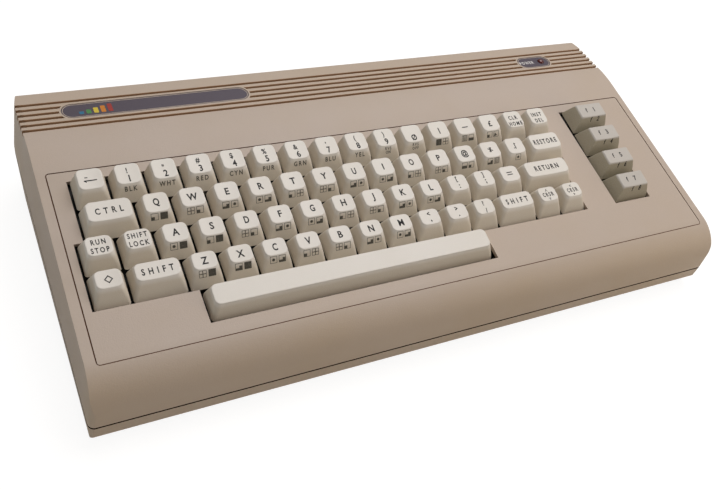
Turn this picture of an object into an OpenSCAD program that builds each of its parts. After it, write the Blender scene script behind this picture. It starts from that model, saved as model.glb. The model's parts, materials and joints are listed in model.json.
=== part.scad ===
// Vintage home computer with its keyboard in the case, built as separate pieces.
// Millimetres. Origin on the table under the middle of the case, +X right, +Y rear, +Z up.

/* [Case] */
// Width across the seam
body_w = 404; // [400:1:408]
// Depth from the nose to the rear wall
body_d = 208; // [206:1:210]
// Height of the flat rear strip
top_z = 70.5; // [70:0.1:71]
// Thickness of the moulded walls
wall = 2.5; // [2.2:0.1:2.8]
// Height of the seam at the front
seam_z = 17.5; // [16:0.5:19]
// Rise of the seam towards the rear, in degrees
seam_tilt = 7.5; // [7:0.1:8]
// Width of the gap at the seam
seam_gap = 0.7; // [0.4:0.1:1]
// Draft of the side walls, in degrees
side_draft = 4; // [3:0.5:6]
// Radius of the case's upright corners at the front
corner_r = 6; // [4:0.5:8]
// Same at the rear, below the top edge
rear_corner_r = 34; // [20:1:34]
// Radius of the rolled front nose
nose_r = 22; // [20:1:24]
// Slope of the deck, in degrees
deck_tilt = 10.3; // [10:0.1:10.6]

/* [Rear strip] */
// Distance from the rearmost groove to the rear wall
groove_inset = 31.6; // [31:0.1:32]
// Distance between the grooves
groove_pitch = 4.3; // [4.1:0.1:4.4]
// Width of a groove
groove_w = 1.6; // [1.2:0.1:1.8]
// Depth of a groove
groove_d = 1.2; // [0.8:0.1:1.4]
// Number of grooves
groove_count = 6; // [4:1:6]
// Height of both badges
badge_h = 12; // [11:0.5:12.5]
// Length of the name badge
name_badge_w = 109; // [100:1:112]
// Middle of the name badge
name_badge_x = -122.4; // [-124:0.2:-120]
// Length of the power badge
power_badge_w = 27; // [25:1:29]
// Middle of the power badge
power_badge_x = 149.5; // [148:0.5:151]
// Radius of the power lamp
led_r = 2.5; // [2:0.5:3]

/* [Keys] */
// Distance from key to key
pitch = 19.05; // [19:0.01:19.1]
// Tilt of the plane of the key tops, in degrees
key_tilt = 13; // [12.9:0.1:13.1]
// Height of a key from skirt to top
cap_h = 9.3; // [9:0.1:9.5]
// Gap between neighbouring skirts
key_gap = 1.25; // [1:0.05:1.3]
// Width lost from skirt to top on each side of a key
cap_side = 2.6; // [2:0.1:2.9]
// Same for the left side of the function keys
function_side = 6; // [4.6:0.1:6.2]
// Same for their right side
function_right_side = 0.9; // [0.8:0.1:2]
// Travel of a key
travel = 3.8; // [3.6:0.1:4]
// Radius of a plunger
plunger_r = 2.5; // [2.4:0.05:2.5]
// Radial clearance of a plunger in its sleeve
plunger_fit = 0.08; // [0.05:0.01:0.1]

/* [Boards and ports] */
// Height of the main board's underside
board_z = 12; // [11.5:0.5:12.5]
// Thickness of the circuit boards
board_t = 1.6; // [1.5:0.1:1.7]
// Middle of the cartridge slot
cartridge_x = 115; // [113:1:117]
// Width of the cartridge slot
cartridge_w = 74; // [72:1:76]
// Middle of the RF modulator
modulator_x = 57; // [56:1:58]
// Middle of the AV socket
av_x = 21; // [20:1:22]
// Middle of the serial socket
serial_x = -7; // [-8:1:-6]
// Middle of the cassette port
cassette_x = -52; // [-54:1:-50]
// Width of the cassette port's contact tab
cassette_w = 25; // [24:1:26]
// Middle of the user port
user_x = -125; // [-127:1:-123]
// Width of the user port's contact tab
user_w = 49; // [48:1:50]
// Distance of the front joystick port from the middle
joystick_y = -38; // [-40:1:-36]
// Distance between the joystick ports
joystick_pitch = 37; // [36:1:38]
// Place of the power switch
switch_y = 34; // [33:1:35]
// Place of the power socket
power_y = 60; // [59:1:61]
// Radius of the RF jack's barrel
jack_r = 4.15; // [4.1:0.05:4.2]

/* [Hidden] */
$fn = 48;
eps = 0.01;
front_y = -body_d / 2;
rear_y = body_d / 2;
bottom_z = 3;
floor_z = bottom_z + wall;
half_w = body_w / 2;
far = body_w;

case_beige = [0.72, 0.65, 0.57];
cap_white = [0.86, 0.83, 0.78];
cap_grey = [0.68, 0.64, 0.56];
badge_grey = [0.25, 0.25, 0.27];
board_green = [0.13, 0.32, 0.18];
tin = [0.75, 0.76, 0.77];
black_plastic = [0.08, 0.08, 0.09];

// Frame of the keys: u to the right, v up the slope, w out of the key tops.
key_x = -184.5;
key_y = 3.5;
key_z = 73.8;
ceiling_w = -2;
spring_seat_w = -3.4;
boss_w = -6.6;
sleeve_w = -10.8;
plate_w = -15;
plate_t = 2;
plate_low_w = plate_w - plate_t;
contact_w = plate_low_w - 5.6;
plunger_low_w = contact_w + travel + 0.1;
plunger_v = -0.9;
cap_shift = 2.3;
cap_depth = pitch - key_gap;
cap_top_depth = 11;
even_sides = [cap_side, cap_side];
cap_wall = 1.3;
sleeve_r = 3.4;
spring_r = 4.3;
spring_wire = 0.7;
stem_r = 1.5;
stem_fit = 0.03;
dish_d = 0.35;
dish_steps = 360;
widest_dish = 50;

// Columns of the keys, as [left edge in key widths, width in key widths].
number_row = [for (i = [0:13]) [i, 1]];
upper_row = [for (i = [0:12]) [1.5 + i, 1]];
home_row = [for (i = [0:11]) [1.75 + i, 1]];
lower_row = [for (i = [0:9]) [2.25 + i, 1]];
space_left = 2.5;
space_width = 9;
function_left = 17;
function_width = 1.5;
SINGLE_KEYS = [
    ["home_key", 0, 14, 1],
    ["delete_key", 0, 15, 1],
    ["control_key", 1, 0, 1.5],
    ["restore_key", 1, 14.5, 1.5],
    ["run_stop_key", 2, -0.25, 1],
    ["shift_lock_key", 2, 0.75, 1],
    ["return_key", 2, 13.75, 2],
    ["command_key", 3, -0.25, 1],
    ["left_shift_key", 3, 0.75, 1.5],
    ["right_shift_key", 3, 12.25, 1.5],
    ["cursor_down_key", 3, 13.75, 1],
    ["cursor_right_key", 3, 14.75, 1]
];

// ---- Outline of the case, seen from its left side ----

function arc(c, r, from, to, steps) =
    [for (i = [0:steps]) let (a = from + (to - from) * i / steps) c + r * [cos(a), sin(a)]];

// Line of the deck, and where the flat rear strip starts.
deck_mark = [19.9, 67];
deck_slope = tan(deck_tilt);
nose_y = front_y + nose_r;
nose_c = [nose_y, deck_mark[1] + deck_slope * (nose_y - deck_mark[0]) - nose_r / cos(deck_tilt)];
crown_y = 47;
crown_meet = deck_mark[0] + (top_z - deck_mark[1]) / deck_slope;
crown_r = (crown_y - crown_meet) / tan(deck_tilt / 2);
crown_c = [crown_y, top_z - crown_r];
// Rear wall: a slope from the top edge to the seam, a second to the port wall, then straight down.
rear_edge_r = 3;
rear_seam = [rear_y - 6.5, 43.5];
rear_top = [rear_y - 21.5, top_z];
rear_lean = atan2(rear_top[1] - rear_seam[1], rear_seam[0] - rear_top[0]);
rear_port_z = 33;
rear_half = rear_lean / 2;
rear_edge_c = rear_top - [rear_edge_r * tan(rear_half), rear_edge_r];

outline = concat(
    [[front_y + 6, bottom_z], [front_y + 0.6, 9], [front_y, seam_z]],
    arc(nose_c, nose_r, 180, 90 + deck_tilt, 9),
    arc(crown_c, crown_r, 90 + deck_tilt, 90, 4),
    arc(rear_edge_c, rear_edge_r, 90, 90 - rear_lean, 4),
    [rear_seam, [rear_y, rear_port_z], [rear_y, 7], [rear_y - 4, bottom_z]]
);

function unit(v) = v / norm(v);
function inward(a, b) = let (d = unit(b - a)) [d[1], -d[0]];
function pulled_in(a, b, c, t) =
    let (n = inward(a, b), m = inward(b, c)) b + t * (n + m) / (1 + n * m);
function inset(path, t) =
    let (n = len(path))
    [for (i = [0:n - 1]) pulled_in(path[(i + n - 1) % n], path[i], path[(i + 1) % n], t)];

// ---- Shared forms ----

module rounded_rect(w, d, r) {
    square([w, d - 2 * r], center = true);
    square([w - 2 * r, d], center = true);
    for (x = [-1, 1], y = [-1, 1])
        translate([x * (w / 2 - r), y * (d / 2 - r)]) circle(r);
}

module pill(w, h) {
    square([w - h, h], center = true);
    for (x = [-1, 1])
        translate([x * (w - h) / 2, 0]) circle(h / 2);
}

module in_keys() translate([key_x, key_y, key_z]) rotate([key_tilt, 0, 0]) children();

module in_deck() translate([0, deck_mark[0], deck_mark[1]]) rotate([deck_tilt, 0, 0]) children();

module in_seam() translate([0, front_y, seam_z]) rotate([seam_tilt, 0, 0]) children();

module above_seam(h) in_seam() translate([-far, -far, h]) cube([2 * far, 3 * far, far]);

module below_seam(h) in_seam() translate([-far, -far, h - far]) cube([2 * far, 3 * far, far]);

// The case's outer form, pulled in by t: side outline, draft and rounded plan meet.
// The plan is a little wider than the seam, so that it only rounds the corners.
module envelope(t) {
    plan_spare = 1;
    plan_w = body_w + 2 * plan_spare - 2 * t;
    plan_d = body_d + 2 * eps - 2 * t;
    narrowing = far * tan(side_draft);
    intersection() {
        translate([-half_w, 0, 0]) rotate([90, 0, 90]) linear_extrude(body_w) polygon(inset(outline, t));
        in_seam() rotate([90, 0, 0]) linear_extrude(3 * far, center = true)
            polygon([
                [half_w - t, 0], [half_w - t - narrowing, far], [narrowing + t - half_w, far],
                [t - half_w, 0], [narrowing + t - half_w, -far], [half_w - t - narrowing, -far]
            ]);
        linear_extrude(top_z + 1) rounded_rect(plan_w, plan_d, corner_r - t);
        // Longer towards the front, so that only its rear corners count.
        translate([0, -far / 2, 0]) linear_extrude(top_z + 1) rounded_rect(plan_w, plan_d + far, rear_corner_r - t);
    }
}

module tube(r, bore, h) difference() {
    cylinder(r = r, h = h);
    translate([0, 0, -1]) cylinder(r = bore, h = h + 2);
}

// A straight run of wire from a to b, with knuckles at its ends that are a little fuller than the wire.
module wire_run(a, b, r) {
    d = b - a;
    knuckle_r = 1.08 * r;
    translate(a) {
        sphere(knuckle_r);
        rotate([0, acos(d[2] / norm(d)), atan2(d[1], d[0])]) cylinder(r = r, h = norm(d));
    }
    translate(b) sphere(knuckle_r);
}

module wire(path, r) for (i = [0:len(path) - 2]) wire_run(path[i], path[i + 1], r);

// ---- Places ----

case_screw_at = [for (x = [-160, 0, 160]) [x, front_y + 9]];
board_screw_at = [[-182, -54], [-26, -59], [176, -62], [-182, 62], [-26, 62], [182, 86]];
keyboard_screw_at = [
    [14, 12], [152, 12], [290, 12], [338, 12], [314.3, -20], [314.3, -60], [20, -77], [152, -92.3], [250, -77],
    [338, -77]
];
contact_screw_at = [for (u = [-3, 170, 355], v = [11, -91]) [u, v]];
foot_at = [for (x = [-170, 170], y = [-80, 80]) [x, y]];
badge_y = rear_y - groove_inset - 2 * groove_pitch;
led_x = power_badge_x + 6.2;
frame_left = -10;
frame_right = 362;
frame_rear = 22;
frame_front = -98;

// ---- Case ----

// Openings round the keys, as corners in the keys' frame.
rear_v = 7.8;
front_v = -69.4;
key_opening = [
    [-0.7, rear_v], [305.5, rear_v], [305.5, -30.4], [299.8, -30.4], [299.8, front_v], [220, front_v],
    [220, -88.5], [46.9, -88.5], [46.9, front_v], [-5.5, front_v], [-5.5, -30.4], [-0.7, -30.4]
];
function_opening = [[323.2, rear_v], [353.1, rear_v], [353.1, front_v], [323.2, front_v]];

module deck_openings() in_keys() for (corners = [key_opening, function_opening])
    translate([0, 0, plate_w + 0.2]) linear_extrude(30) polygon(corners);

module panel_line() {
    line_w = 389;
    line_l = 111.6;
    line_d = 0.6;
    in_deck() translate([0, -line_l / 2, -line_d]) linear_extrude(5) difference() {
        rounded_rect(line_w, line_l, 2);
        rounded_rect(line_w - 1.6, line_l - 1.6, 1.2);
    }
}

module badge_seat(x, w) {
    rim = 0.7;
    translate([x, badge_y, top_z - groove_d]) linear_extrude(groove_d + 1) pill(w + 2 * rim, badge_h + 2 * rim);
}

module grooves() difference() {
    for (i = [0:groove_count - 1])
        translate([-far, rear_y - groove_inset - i * groove_pitch - groove_w / 2, top_z - groove_d])
            cube([2 * far, groove_w, groove_d + 1]);
    badge_seat(name_badge_x, name_badge_w + 1);
    badge_seat(power_badge_x, power_badge_w + 1);
}

module badge_recesses() {
    depth = 0.8;
    for (b = [[name_badge_x, name_badge_w], [power_badge_x, power_badge_w]])
        translate([b[0], badge_y, top_z - depth]) linear_extrude(depth + 1) pill(b[1] + 0.2, badge_h + 0.2);
    translate([led_x, badge_y, top_z - far / 2]) cylinder(r = led_r + 0.1, h = far);
}

module joystick_windows() for (i = [0, 1])
    translate([half_w - 12, joystick_y + i * joystick_pitch, board_z + 8.6]) cube([40, 32.4, 14.4], center = true);

module side_windows() {
    joystick_windows();
    translate([half_w - 12, switch_y, board_z + 11]) cube([40, 18.6, 13.6], center = true);
    translate([half_w - 20, power_y, board_z + 11.6]) rotate([0, 90, 0]) cylinder(r = 9, h = 40);
}

port_floor_z = 6.2;
port_top_z = 20.5;
slot_top_z = 33;

module rear_window(x, w, low, high) translate([x - w / 2, rear_y - 12, low]) cube([w, 30, high - low]);

module rear_windows() {
    rear_window(cartridge_x, cartridge_w + 2, board_z + board_t, slot_top_z);
    rear_window(user_x, user_w + 14, port_floor_z, port_top_z);
    rear_window(cassette_x, cassette_w + 12, port_floor_z, port_top_z);
    for (x = [av_x, serial_x])
        translate([x, rear_y + 10, board_z + 11.6]) rotate([90, 0, 0]) cylinder(r = 9, h = 25);
    rear_window(modulator_x - 8, 13, board_z + 4, board_z + 19);
    rear_window(modulator_x + 9, 11, board_z + 7, board_z + 16);
}

module case_bosses() {
    intersection() {
        envelope(1);
        for (p = case_screw_at)
            translate([p[0], p[1], 9 + eps]) difference() {
                cylinder(r = 4.5, h = 60);
                cylinder(r = 1.3, h = 16);
            }
    }
    intersection() {
        envelope(1);
        in_keys() for (p = keyboard_screw_at)
            translate([p[0], p[1], plate_w]) difference() {
                cylinder(r = 3.4, h = 30);
                translate([0, 0, -1]) cylinder(r = 1.1, h = 4.5);
            }
    }
}

module top_case() color(case_beige) difference() {
    union() {
        difference() {
            envelope(0);
            envelope(wall);
            below_seam(seam_gap / 2);
        }
        case_bosses();
        // Thicker seats under the grooves and badges.
        intersection() {
            envelope(1);
            translate([name_badge_x, badge_y, top_z - 4]) linear_extrude(3) pill(name_badge_w + 6, badge_h + 6);
            above_seam(0);
        }
    }
    deck_openings();
    panel_line();
    grooves();
    badge_recesses();
    side_windows();
}

// A tab that stands on the lower shell's wall and guides the upper shell, l long. The wall is at x = 0.
module locating_tab(l) {
    tab_t = 1.1;
    slack = 0.45;
    tab_h = 2.2;
    root_h = 5;
    translate([-slack - tab_t, -l / 2, -root_h]) cube([tab_t, l, root_h + tab_h]);
    translate([-slack - tab_t, -l / 2, -root_h]) cube([tab_t + slack + 1, l, root_h - 2 * seam_gap]);
}

module locating_tabs() in_seam() {
    for (side = [0, 1], y = [28, 166])
        mirror([side, 0, 0]) translate([half_w - wall, y, 0]) locating_tab(16);
    for (x = [-90, 90])
        translate([x, wall, 0]) rotate([0, 0, -90]) locating_tab(16);
}

module floor_vents() for (i = [-14:14], y = [-40, 16])
    translate([i * 9 - 1.5, y, bottom_z - 1]) cube([3, 36, wall + 2]);

module bottom_case() color(case_beige) difference() {
    union() {
        difference() {
            envelope(0);
            envelope(wall);
            above_seam(-seam_gap / 2);
        }
        locating_tabs();
        for (p = case_screw_at)
            translate([p[0], p[1], bottom_z]) cylinder(r = 4.5, h = 6);
        for (p = board_screw_at)
            translate([p[0], p[1], bottom_z + 1]) cylinder(r = 4, h = board_z - bottom_z - 1);
    }
    for (p = case_screw_at) {
        translate([p[0], p[1], bottom_z - 1]) cylinder(r = 3.6, h = 4.5);
        translate([p[0], p[1], bottom_z - 1]) cylinder(r = 1.7, h = 20);
    }
    for (p = board_screw_at)
        translate([p[0], p[1], floor_z]) cylinder(r = 1.3, h = 20);
    for (p = foot_at)
        translate([p[0], p[1], bottom_z - 1]) cylinder(r = 8.2, h = 1.5);
    floor_vents();
    side_windows();
    rear_windows();
    // Room for the top case's bosses.
    for (p = case_screw_at)
        translate([p[0], p[1], 9]) cylinder(r = 4.8, h = 20);
}

module rubber_feet() color(black_plastic) for (p = foot_at)
    translate([p[0], p[1], 0]) {
        cylinder(r = 8, h = bottom_z + 0.5 - 1);
        translate([0, 0, bottom_z - 0.5]) cylinder(r = 7.6, h = 1);
    }

module case_screws() color(tin) for (p = case_screw_at)
    translate([p[0], p[1], 4.5]) difference() {
        union() {
            cylinder(r = 3.2, h = 2);
            cylinder(r = 1.25, h = 19);
        }
        translate([0, 0, -1]) cylinder(r = 1.4, h = 2, $fn = 4);
    }

module name_badge() color(badge_grey)
    translate([name_badge_x, badge_y, top_z - 0.8]) linear_extrude(0.6) pill(name_badge_w, badge_h);

module power_badge() color(badge_grey) difference() {
    translate([power_badge_x, badge_y, top_z - 0.8]) linear_extrude(0.6) pill(power_badge_w, badge_h);
    translate([led_x, badge_y, top_z - 2]) cylinder(r = led_r + 0.1, h = 4);
}

module power_led() color([0.45, 0.05, 0.06]) translate([led_x, badge_y, 0]) {
    translate([0, 0, top_z - 5]) cylinder(r = led_r, h = 4.6);
    translate([0, 0, top_z - 0.4]) intersection() {
        cylinder(r = led_r, h = 2);
        translate([0, 0, -1.9]) sphere(3.1);
    }
    translate([0, 0, top_z - 6]) cylinder(r = led_r + 0.6, h = 1.2);
}

// ---- Keys ----

// Side outline of a cap in (v, w), with a slightly full front and a rounded top edge.
function cap_side_view(t) =
    let (h = cap_depth / 2, k = cap_top_depth / 2)
    [
        [-cap_shift - h + t, -cap_h - (t > 0 ? 1 : 0)],
        [-k - 2.15 + t, -3.2],
        [-k - 0.2 + t, -0.25 + (t > 0 ? ceiling_w : 0)],
        [-k + 0.4 + t, t > 0 ? ceiling_w : 0],
        [k - 0.4 - t, t > 0 ? ceiling_w : 0],
        [k - t, -0.25 + (t > 0 ? ceiling_w : 0)],
        [h - cap_shift - t, -cap_h - (t > 0 ? 1 : 0)]
    ];

// Front outline of a cap in (u, w). Its left and right side may lose different widths.
function cap_front_view(w, sides, t) =
    let (h = w / 2 - t, l = h - sides[0], r = h - sides[1], top = t > 0 ? ceiling_w : 0)
    [
        [-h, -cap_h - (t > 0 ? 1 : 0)], [-l - sides[0] * 0.36 - 0.2, -3.2], [-l, top - 0.25], [-l + 0.4, top],
        [r - 0.4, top], [r, top - 0.25], [r + sides[1] * 0.36 + 0.2, -3.2], [h, -cap_h - (t > 0 ? 1 : 0)]
    ];

module cap_form(w, sides, t) intersection() {
    rotate([90, 0, 90]) linear_extrude(w + 2, center = true) polygon(cap_side_view(t));
    rotate([90, 0, 0]) linear_extrude(4 * cap_depth, center = true) polygon(cap_front_view(w, sides, t));
}

module cap(w, sides) {
    dish_half = (w - sides[0] - sides[1]) / 2 - 0.7;
    dish_u = (sides[0] - sides[1]) / 2;
    dish_r = (dish_half * dish_half + dish_d * dish_d) / (2 * dish_d);
    difference() {
        cap_form(w, sides, 0);
        cap_form(w, sides, cap_wall);
        if (w < widest_dish)
            translate([dish_u, 0, dish_r - dish_d]) rotate([90, 0, 0])
                cylinder(r = dish_r, h = 4 * cap_depth, center = true, $fn = dish_steps);
    }
    // Boss for the plunger's stem, with a seat for the spring round its root.
    translate([0, plunger_v, boss_w])
        difference() {
            union() {
                cylinder(r = sleeve_r, h = ceiling_w - boss_w + 0.4);
                translate([0, 0, spring_seat_w - boss_w])
                    cylinder(r = spring_r + 0.1, h = ceiling_w - spring_seat_w + 0.4);
            }
            translate([0, 0, -1]) cylinder(r = stem_r + stem_fit, h = ceiling_w - boss_w + 0.5);
        }
}

module plunger() translate([0, plunger_v, 0]) {
    translate([0, 0, plunger_low_w]) cylinder(r = plunger_r, h = boss_w - 0.05 - plunger_low_w);
    translate([0, 0, boss_w - 0.1]) cylinder(r = stem_r, h = ceiling_w - boss_w - 0.5);
}

// One key: its left edge and width in key widths, and its row.
module key(row, left, width, sides = even_sides) {
    w = width * pitch - key_gap;
    in_keys() translate([(left + width / 2) * pitch, -row * pitch, 0]) {
        cap(w, sides);
        plunger();
    }
}

module key_bank(row, columns) color(cap_white) for (c = columns) key(row, c[0], c[1]);

module single_key(name) color(cap_white) for (k = SINGLE_KEYS)
    if (k[0] == name) key(k[1], k[2], k[3]);

module function_key(row) color(cap_grey)
    key(row, function_left, function_width, [function_side, function_right_side]);

// Space bar: a long cap whose ends are cut round in plan, with lugs for its stabilizer.
space_u = (space_left + space_width / 2) * pitch;
space_v = -4 * pitch;
space_w = space_width * pitch - key_gap;
wire_r = 0.7;
rod_v = space_v - 6.1;
rod_w = -10.4;
arm_l = 9;
arm_rise = 1.9;
arm_reach = sqrt(arm_l * arm_l - arm_rise * arm_rise);
rod_half = 70;

module stabilizer_lug(side) translate([space_u + side * (rod_half + 3.4), rod_v + arm_reach, 0]) difference() {
    translate([-1, -3, rod_w + 0.2]) cube([2, 6, -rod_w - 0.2 + ceiling_w + 0.5]);
    translate([-2, -1.6, rod_w + arm_rise - 0.85]) cube([4, 3.2, 1.7]);
}

module space_bar() color(cap_white) in_keys() {
    intersection() {
        translate([space_u, space_v, 0]) cap(space_w, even_sides);
        translate([space_u, space_v - cap_shift, -20]) linear_extrude(30) rounded_rect(space_w, cap_depth, 3);
    }
    translate([space_u, space_v, 0]) plunger();
    for (side = [-1, 1]) stabilizer_lug(side);
}

module space_bar_stabilizer() color(tin) in_keys() translate([space_u, 0, 0]) {
    wire([[-rod_half, rod_v, rod_w], [rod_half, rod_v, rod_w]], wire_r);
    for (side = [-1, 1])
        wire([
            [side * rod_half, rod_v, rod_w],
            [side * rod_half, rod_v + arm_reach, rod_w + arm_rise],
            [side * (rod_half + 5), rod_v + arm_reach, rod_w + arm_rise]
        ], wire_r);
}

// Centres of all plungers, in the keys' frame.
key_centres = concat(
    [for (c = number_row) [c[0] + c[1] / 2, 0]],
    [for (c = upper_row) [c[0] + c[1] / 2, 1]],
    [for (c = home_row) [c[0] + c[1] / 2, 2]],
    [for (c = lower_row) [c[0] + c[1] / 2, 3]],
    [for (k = SINGLE_KEYS) [k[2] + k[3] / 2, k[1]]],
    [[space_left + space_width / 2, 4]],
    [for (row = [0:3]) [function_left + function_width / 2, row]]
);

module at_plungers() for (c = key_centres)
    translate([c[0] * pitch, -c[1] * pitch + plunger_v, 0]) children();

// A slab of the keyboard frame's plan, pulled in by t, from height w up by h.
module frame_block(t, w, h) translate([frame_left + t, frame_front + t, w])
    cube([frame_right - frame_left - 2 * t, frame_rear - frame_front - 2 * t, h]);

module keyboard_frame() color(black_plastic) in_keys() {
    difference() {
        union() {
            frame_block(0, plate_low_w, plate_t);
            at_plungers() translate([0, 0, plate_w - eps]) cylinder(r = sleeve_r, h = sleeve_w - plate_w);
            // Rim that the contact board rests against.
            difference() {
                frame_block(1, contact_w, plate_low_w - contact_w + eps);
                frame_block(3, contact_w - 1, 20);
            }
            for (p = contact_screw_at)
                translate([p[0], p[1], contact_w]) cylinder(r = 3, h = plate_low_w - contact_w + eps);
        }
        at_plungers() translate([0, 0, -30]) cylinder(r = plunger_r + plunger_fit, h = 30);
        for (p = keyboard_screw_at)
            translate([p[0], p[1], -30]) cylinder(r = 1.4, h = 30);
        for (p = contact_screw_at)
            translate([p[0], p[1], contact_w - 1]) cylinder(r = 0.9, h = 6);
    }
    // Clips that hold the stabilizer.
    for (side = [-1, 1])
        translate([space_u + side * (rod_half - 8) - 1.5, rod_v, plate_w - eps]) difference() {
            translate([0, -1.3, 0]) cube([3, 2.6, rod_w - plate_w + 1.3]);
            translate([-1, 0, rod_w - plate_w]) rotate([0, 90, 0]) cylinder(r = wire_r + 0.06, h = 5);
        }
}

module keyboard_board() color(board_green) in_keys() difference() {
    frame_block(1, contact_w - board_t, board_t - eps);
    for (p = contact_screw_at)
        translate([p[0], p[1], -40]) cylinder(r = 1.2, h = 40);
    for (p = keyboard_screw_at)
        translate([p[0], p[1], -40]) cylinder(r = 3.4, h = 40);
}

module key_springs() color(tin) in_keys() at_plungers()
    translate([0, 0, plate_w + 0.05]) tube(spring_r, spring_r - spring_wire, spring_seat_w - plate_w - 0.1);

module keyboard_screws() color(tin) in_keys() {
    for (p = keyboard_screw_at)
        translate([p[0], p[1], plate_low_w]) {
            translate([0, 0, -1.6]) cylinder(r = 2.6, h = 1.6 - eps);
            translate([0, 0, -1]) cylinder(r = 1.05, h = 4.6);
        }
    for (p = contact_screw_at)
        translate([p[0], p[1], contact_w - board_t]) {
            translate([0, 0, -1.2]) cylinder(r = 2, h = 1.2 - eps);
            translate([0, 0, -0.5]) cylinder(r = 0.85, h = 6);
        }
}

// ---- Electronics ----

board_top = board_z + board_t;
board_half = 188;
board_front = -66;
board_rear = 92;
tab_end = rear_y - 1;

module contact_tab(x, w, count) {
    translate([x - w / 2, board_rear - 1, board_z]) cube([w, tab_end - board_rear + 1, board_t]);
    for (i = [0:count - 1], z = [board_z - 0.1, board_top - 0.1])
        translate([x + (i - (count - 1) / 2) * 3.96 - 1.2, board_rear + 2, z])
            cube([2.4, tab_end - board_rear - 3, 0.2]);
}

module main_board() color(board_green) difference() {
    union() {
        translate([-board_half, board_front, board_z])
            cube([2 * board_half, board_rear - board_front, board_t]);
        contact_tab(user_x, user_w, 12);
        contact_tab(cassette_x, cassette_w, 6);
    }
    for (p = board_screw_at)
        translate([p[0], p[1], board_z - 1]) cylinder(r = 1.7, h = 4);
}

// A chip w long and d deep on the main board, with a notch and its two rows of legs.
module chip(x, y, w, d) translate([x, y, board_top]) {
    difference() {
        translate([-w / 2, -d / 2 + 0.6, 1]) cube([w, d - 1.2, 3.6]);
        translate([-w / 2, 0, 3.6]) cylinder(r = 1.2, h = 2);
    }
    for (side = [-1, 1])
        translate([-w / 2 + 1, side * (d / 2 - 0.6) - 0.25, eps]) cube([w - 2, 0.5, 3]);
}

module logic_chips() color(black_plastic) {
    for (i = [0:3]) chip(-150 + i * 58, 10, 51, 15);
    for (i = [0:4]) chip(-60 + i * 27, 40, 20, 8);
    chip(-150, 44, 51, 15);
}

module memory_chips() color(black_plastic) for (i = [0:3], j = [0:1])
    chip(-150 + i * 26, -26 - j * 16, 20, 8);

// Capacitors, as [x, y, radius, height].
capacitor_at = [
    [170, 66, 8, 24], [126, 40, 6, 16], [100, 22, 4, 12], [-100, 72, 4, 12], [-172, 28, 4, 11], [62, 20, 3, 10]
];

module capacitors() color([0.1, 0.2, 0.45])
    for (c = capacitor_at)
        translate([c[0], c[1], board_top + eps]) cylinder(r = c[2], h = c[3]);

module heat_sink() color(tin) translate([150, 34, board_top + eps]) {
    cube([3, 22, 20]);
    for (i = [0:3]) translate([0, i * 6, 0]) cube([14, 1.5, 20]);
    for (y = [3, 14]) translate([-4.6, y, 4]) cube([4.61, 6, 12]);
}

module fuse() translate([110, 2, board_top + eps]) {
    color(tin) for (x = [-9, 6]) translate([x, -3.2, 0]) cube([3, 6.4, 3]);
    color([0.8, 0.85, 0.85]) translate([-10.5, 0, 5.6]) rotate([0, 90, 0]) cylinder(r = 2.6, h = 21);
}

module shield_can(x, y, w, d, h) translate([x - w / 2, y - d / 2, board_top + eps]) difference() {
    cube([w, d, h]);
    translate([0.6, 0.6, -1]) cube([w - 1.2, d - 1.2, h + 0.4]);
    for (i = [1:3], j = [1:3])
        translate([w * i / 4, d * j / 4, h - 2]) cylinder(r = 2, h = 4);
}

module video_shield_box() color(tin) shield_can(30, -36, 92, 40, 16);

module rf_modulator() color(tin) difference() {
    shield_can(modulator_x, 72, 38, 50, 24);
    translate([modulator_x - 8, rear_y, board_z + 11.6]) rotate([90, 0, 0]) cylinder(r = jack_r + 0.1, h = 20);
    translate([modulator_x + 4.4, rear_y - 12, board_z + 8]) cube([9.2, 10, 7.2]);
}

jack_l = 9;
jack_flange_w = 1.75;
jack_relief_w = 0.6;

module rf_jack() color(tin) translate([modulator_x - 8, rear_y - 9.4, board_z + 11.6]) rotate([-90, 0, 0]) {
    translate([0, 0, -1.2]) cylinder(r = 5.2, h = jack_flange_w + 1.2);
    difference() {
        union() {
            cylinder(r = jack_r - 0.3, h = jack_flange_w + jack_relief_w + 1);
            translate([0, 0, jack_flange_w + jack_relief_w])
                cylinder(r = jack_r, h = jack_l - jack_flange_w - jack_relief_w);
        }
        translate([0, 0, 2]) cylinder(r = 1.6, h = 10);
    }
}

module channel_switch() color(tin)
    translate([modulator_x + 4.6, rear_y - 13, board_z + 8.2]) difference() {
        cube([8.8, 8, 6.8]);
        translate([0.8, 3, 1.2]) cube([7.2, 10, 4.4]);
    }

module channel_slider() color(black_plastic)
    translate([modulator_x + 5.6, rear_y - 9.7, board_z + 9.7]) {
        cube([4, 2, 3.8]);
        translate([0.6, 0, 0.6]) cube([2.8, 8.2, 2.6]);
    }

slot_front = 66;

module cartridge_connector() color(black_plastic)
    translate([cartridge_x - cartridge_w / 2 + 2, slot_front - 9, board_top + eps]) difference() {
        cube([cartridge_w - 4, 9, 14]);
        translate([5, 2, 5.6]) cube([cartridge_w - 14, 10, 2.6]);
    }

module joystick_port(y) translate([half_w - 13, y, board_z + 8.6]) {
    shell_w = 24.6;
    shell_h = 11;
    difference() {
        union() {
            translate([0, -15.4, -6.2]) cube([5, 30.8, 12.4]);
            translate([4, -shell_w / 2 + 3.8, -shell_h / 2]) cube([8, shell_w - 7.6, shell_h]);
        }
        translate([5, -8.2, -4.2]) cube([20, 16.4, 8.4]);
        for (side = [-1, 1])
            translate([-1, side * 12.5, 0]) rotate([0, 90, 0]) cylinder(r = 1.6, h = 8);
    }
    for (i = [0:4]) translate([4, (i - 2) * 2.77, 1.4]) rotate([0, 90, 0]) cylinder(r = 0.5, h = 7);
    for (i = [0:3]) translate([4, (i - 1.5) * 2.77, -1.4]) rotate([0, 90, 0]) cylinder(r = 0.5, h = 7);
    translate([-8, -14, -6.9]) cube([10, 28, 1]);
}

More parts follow.
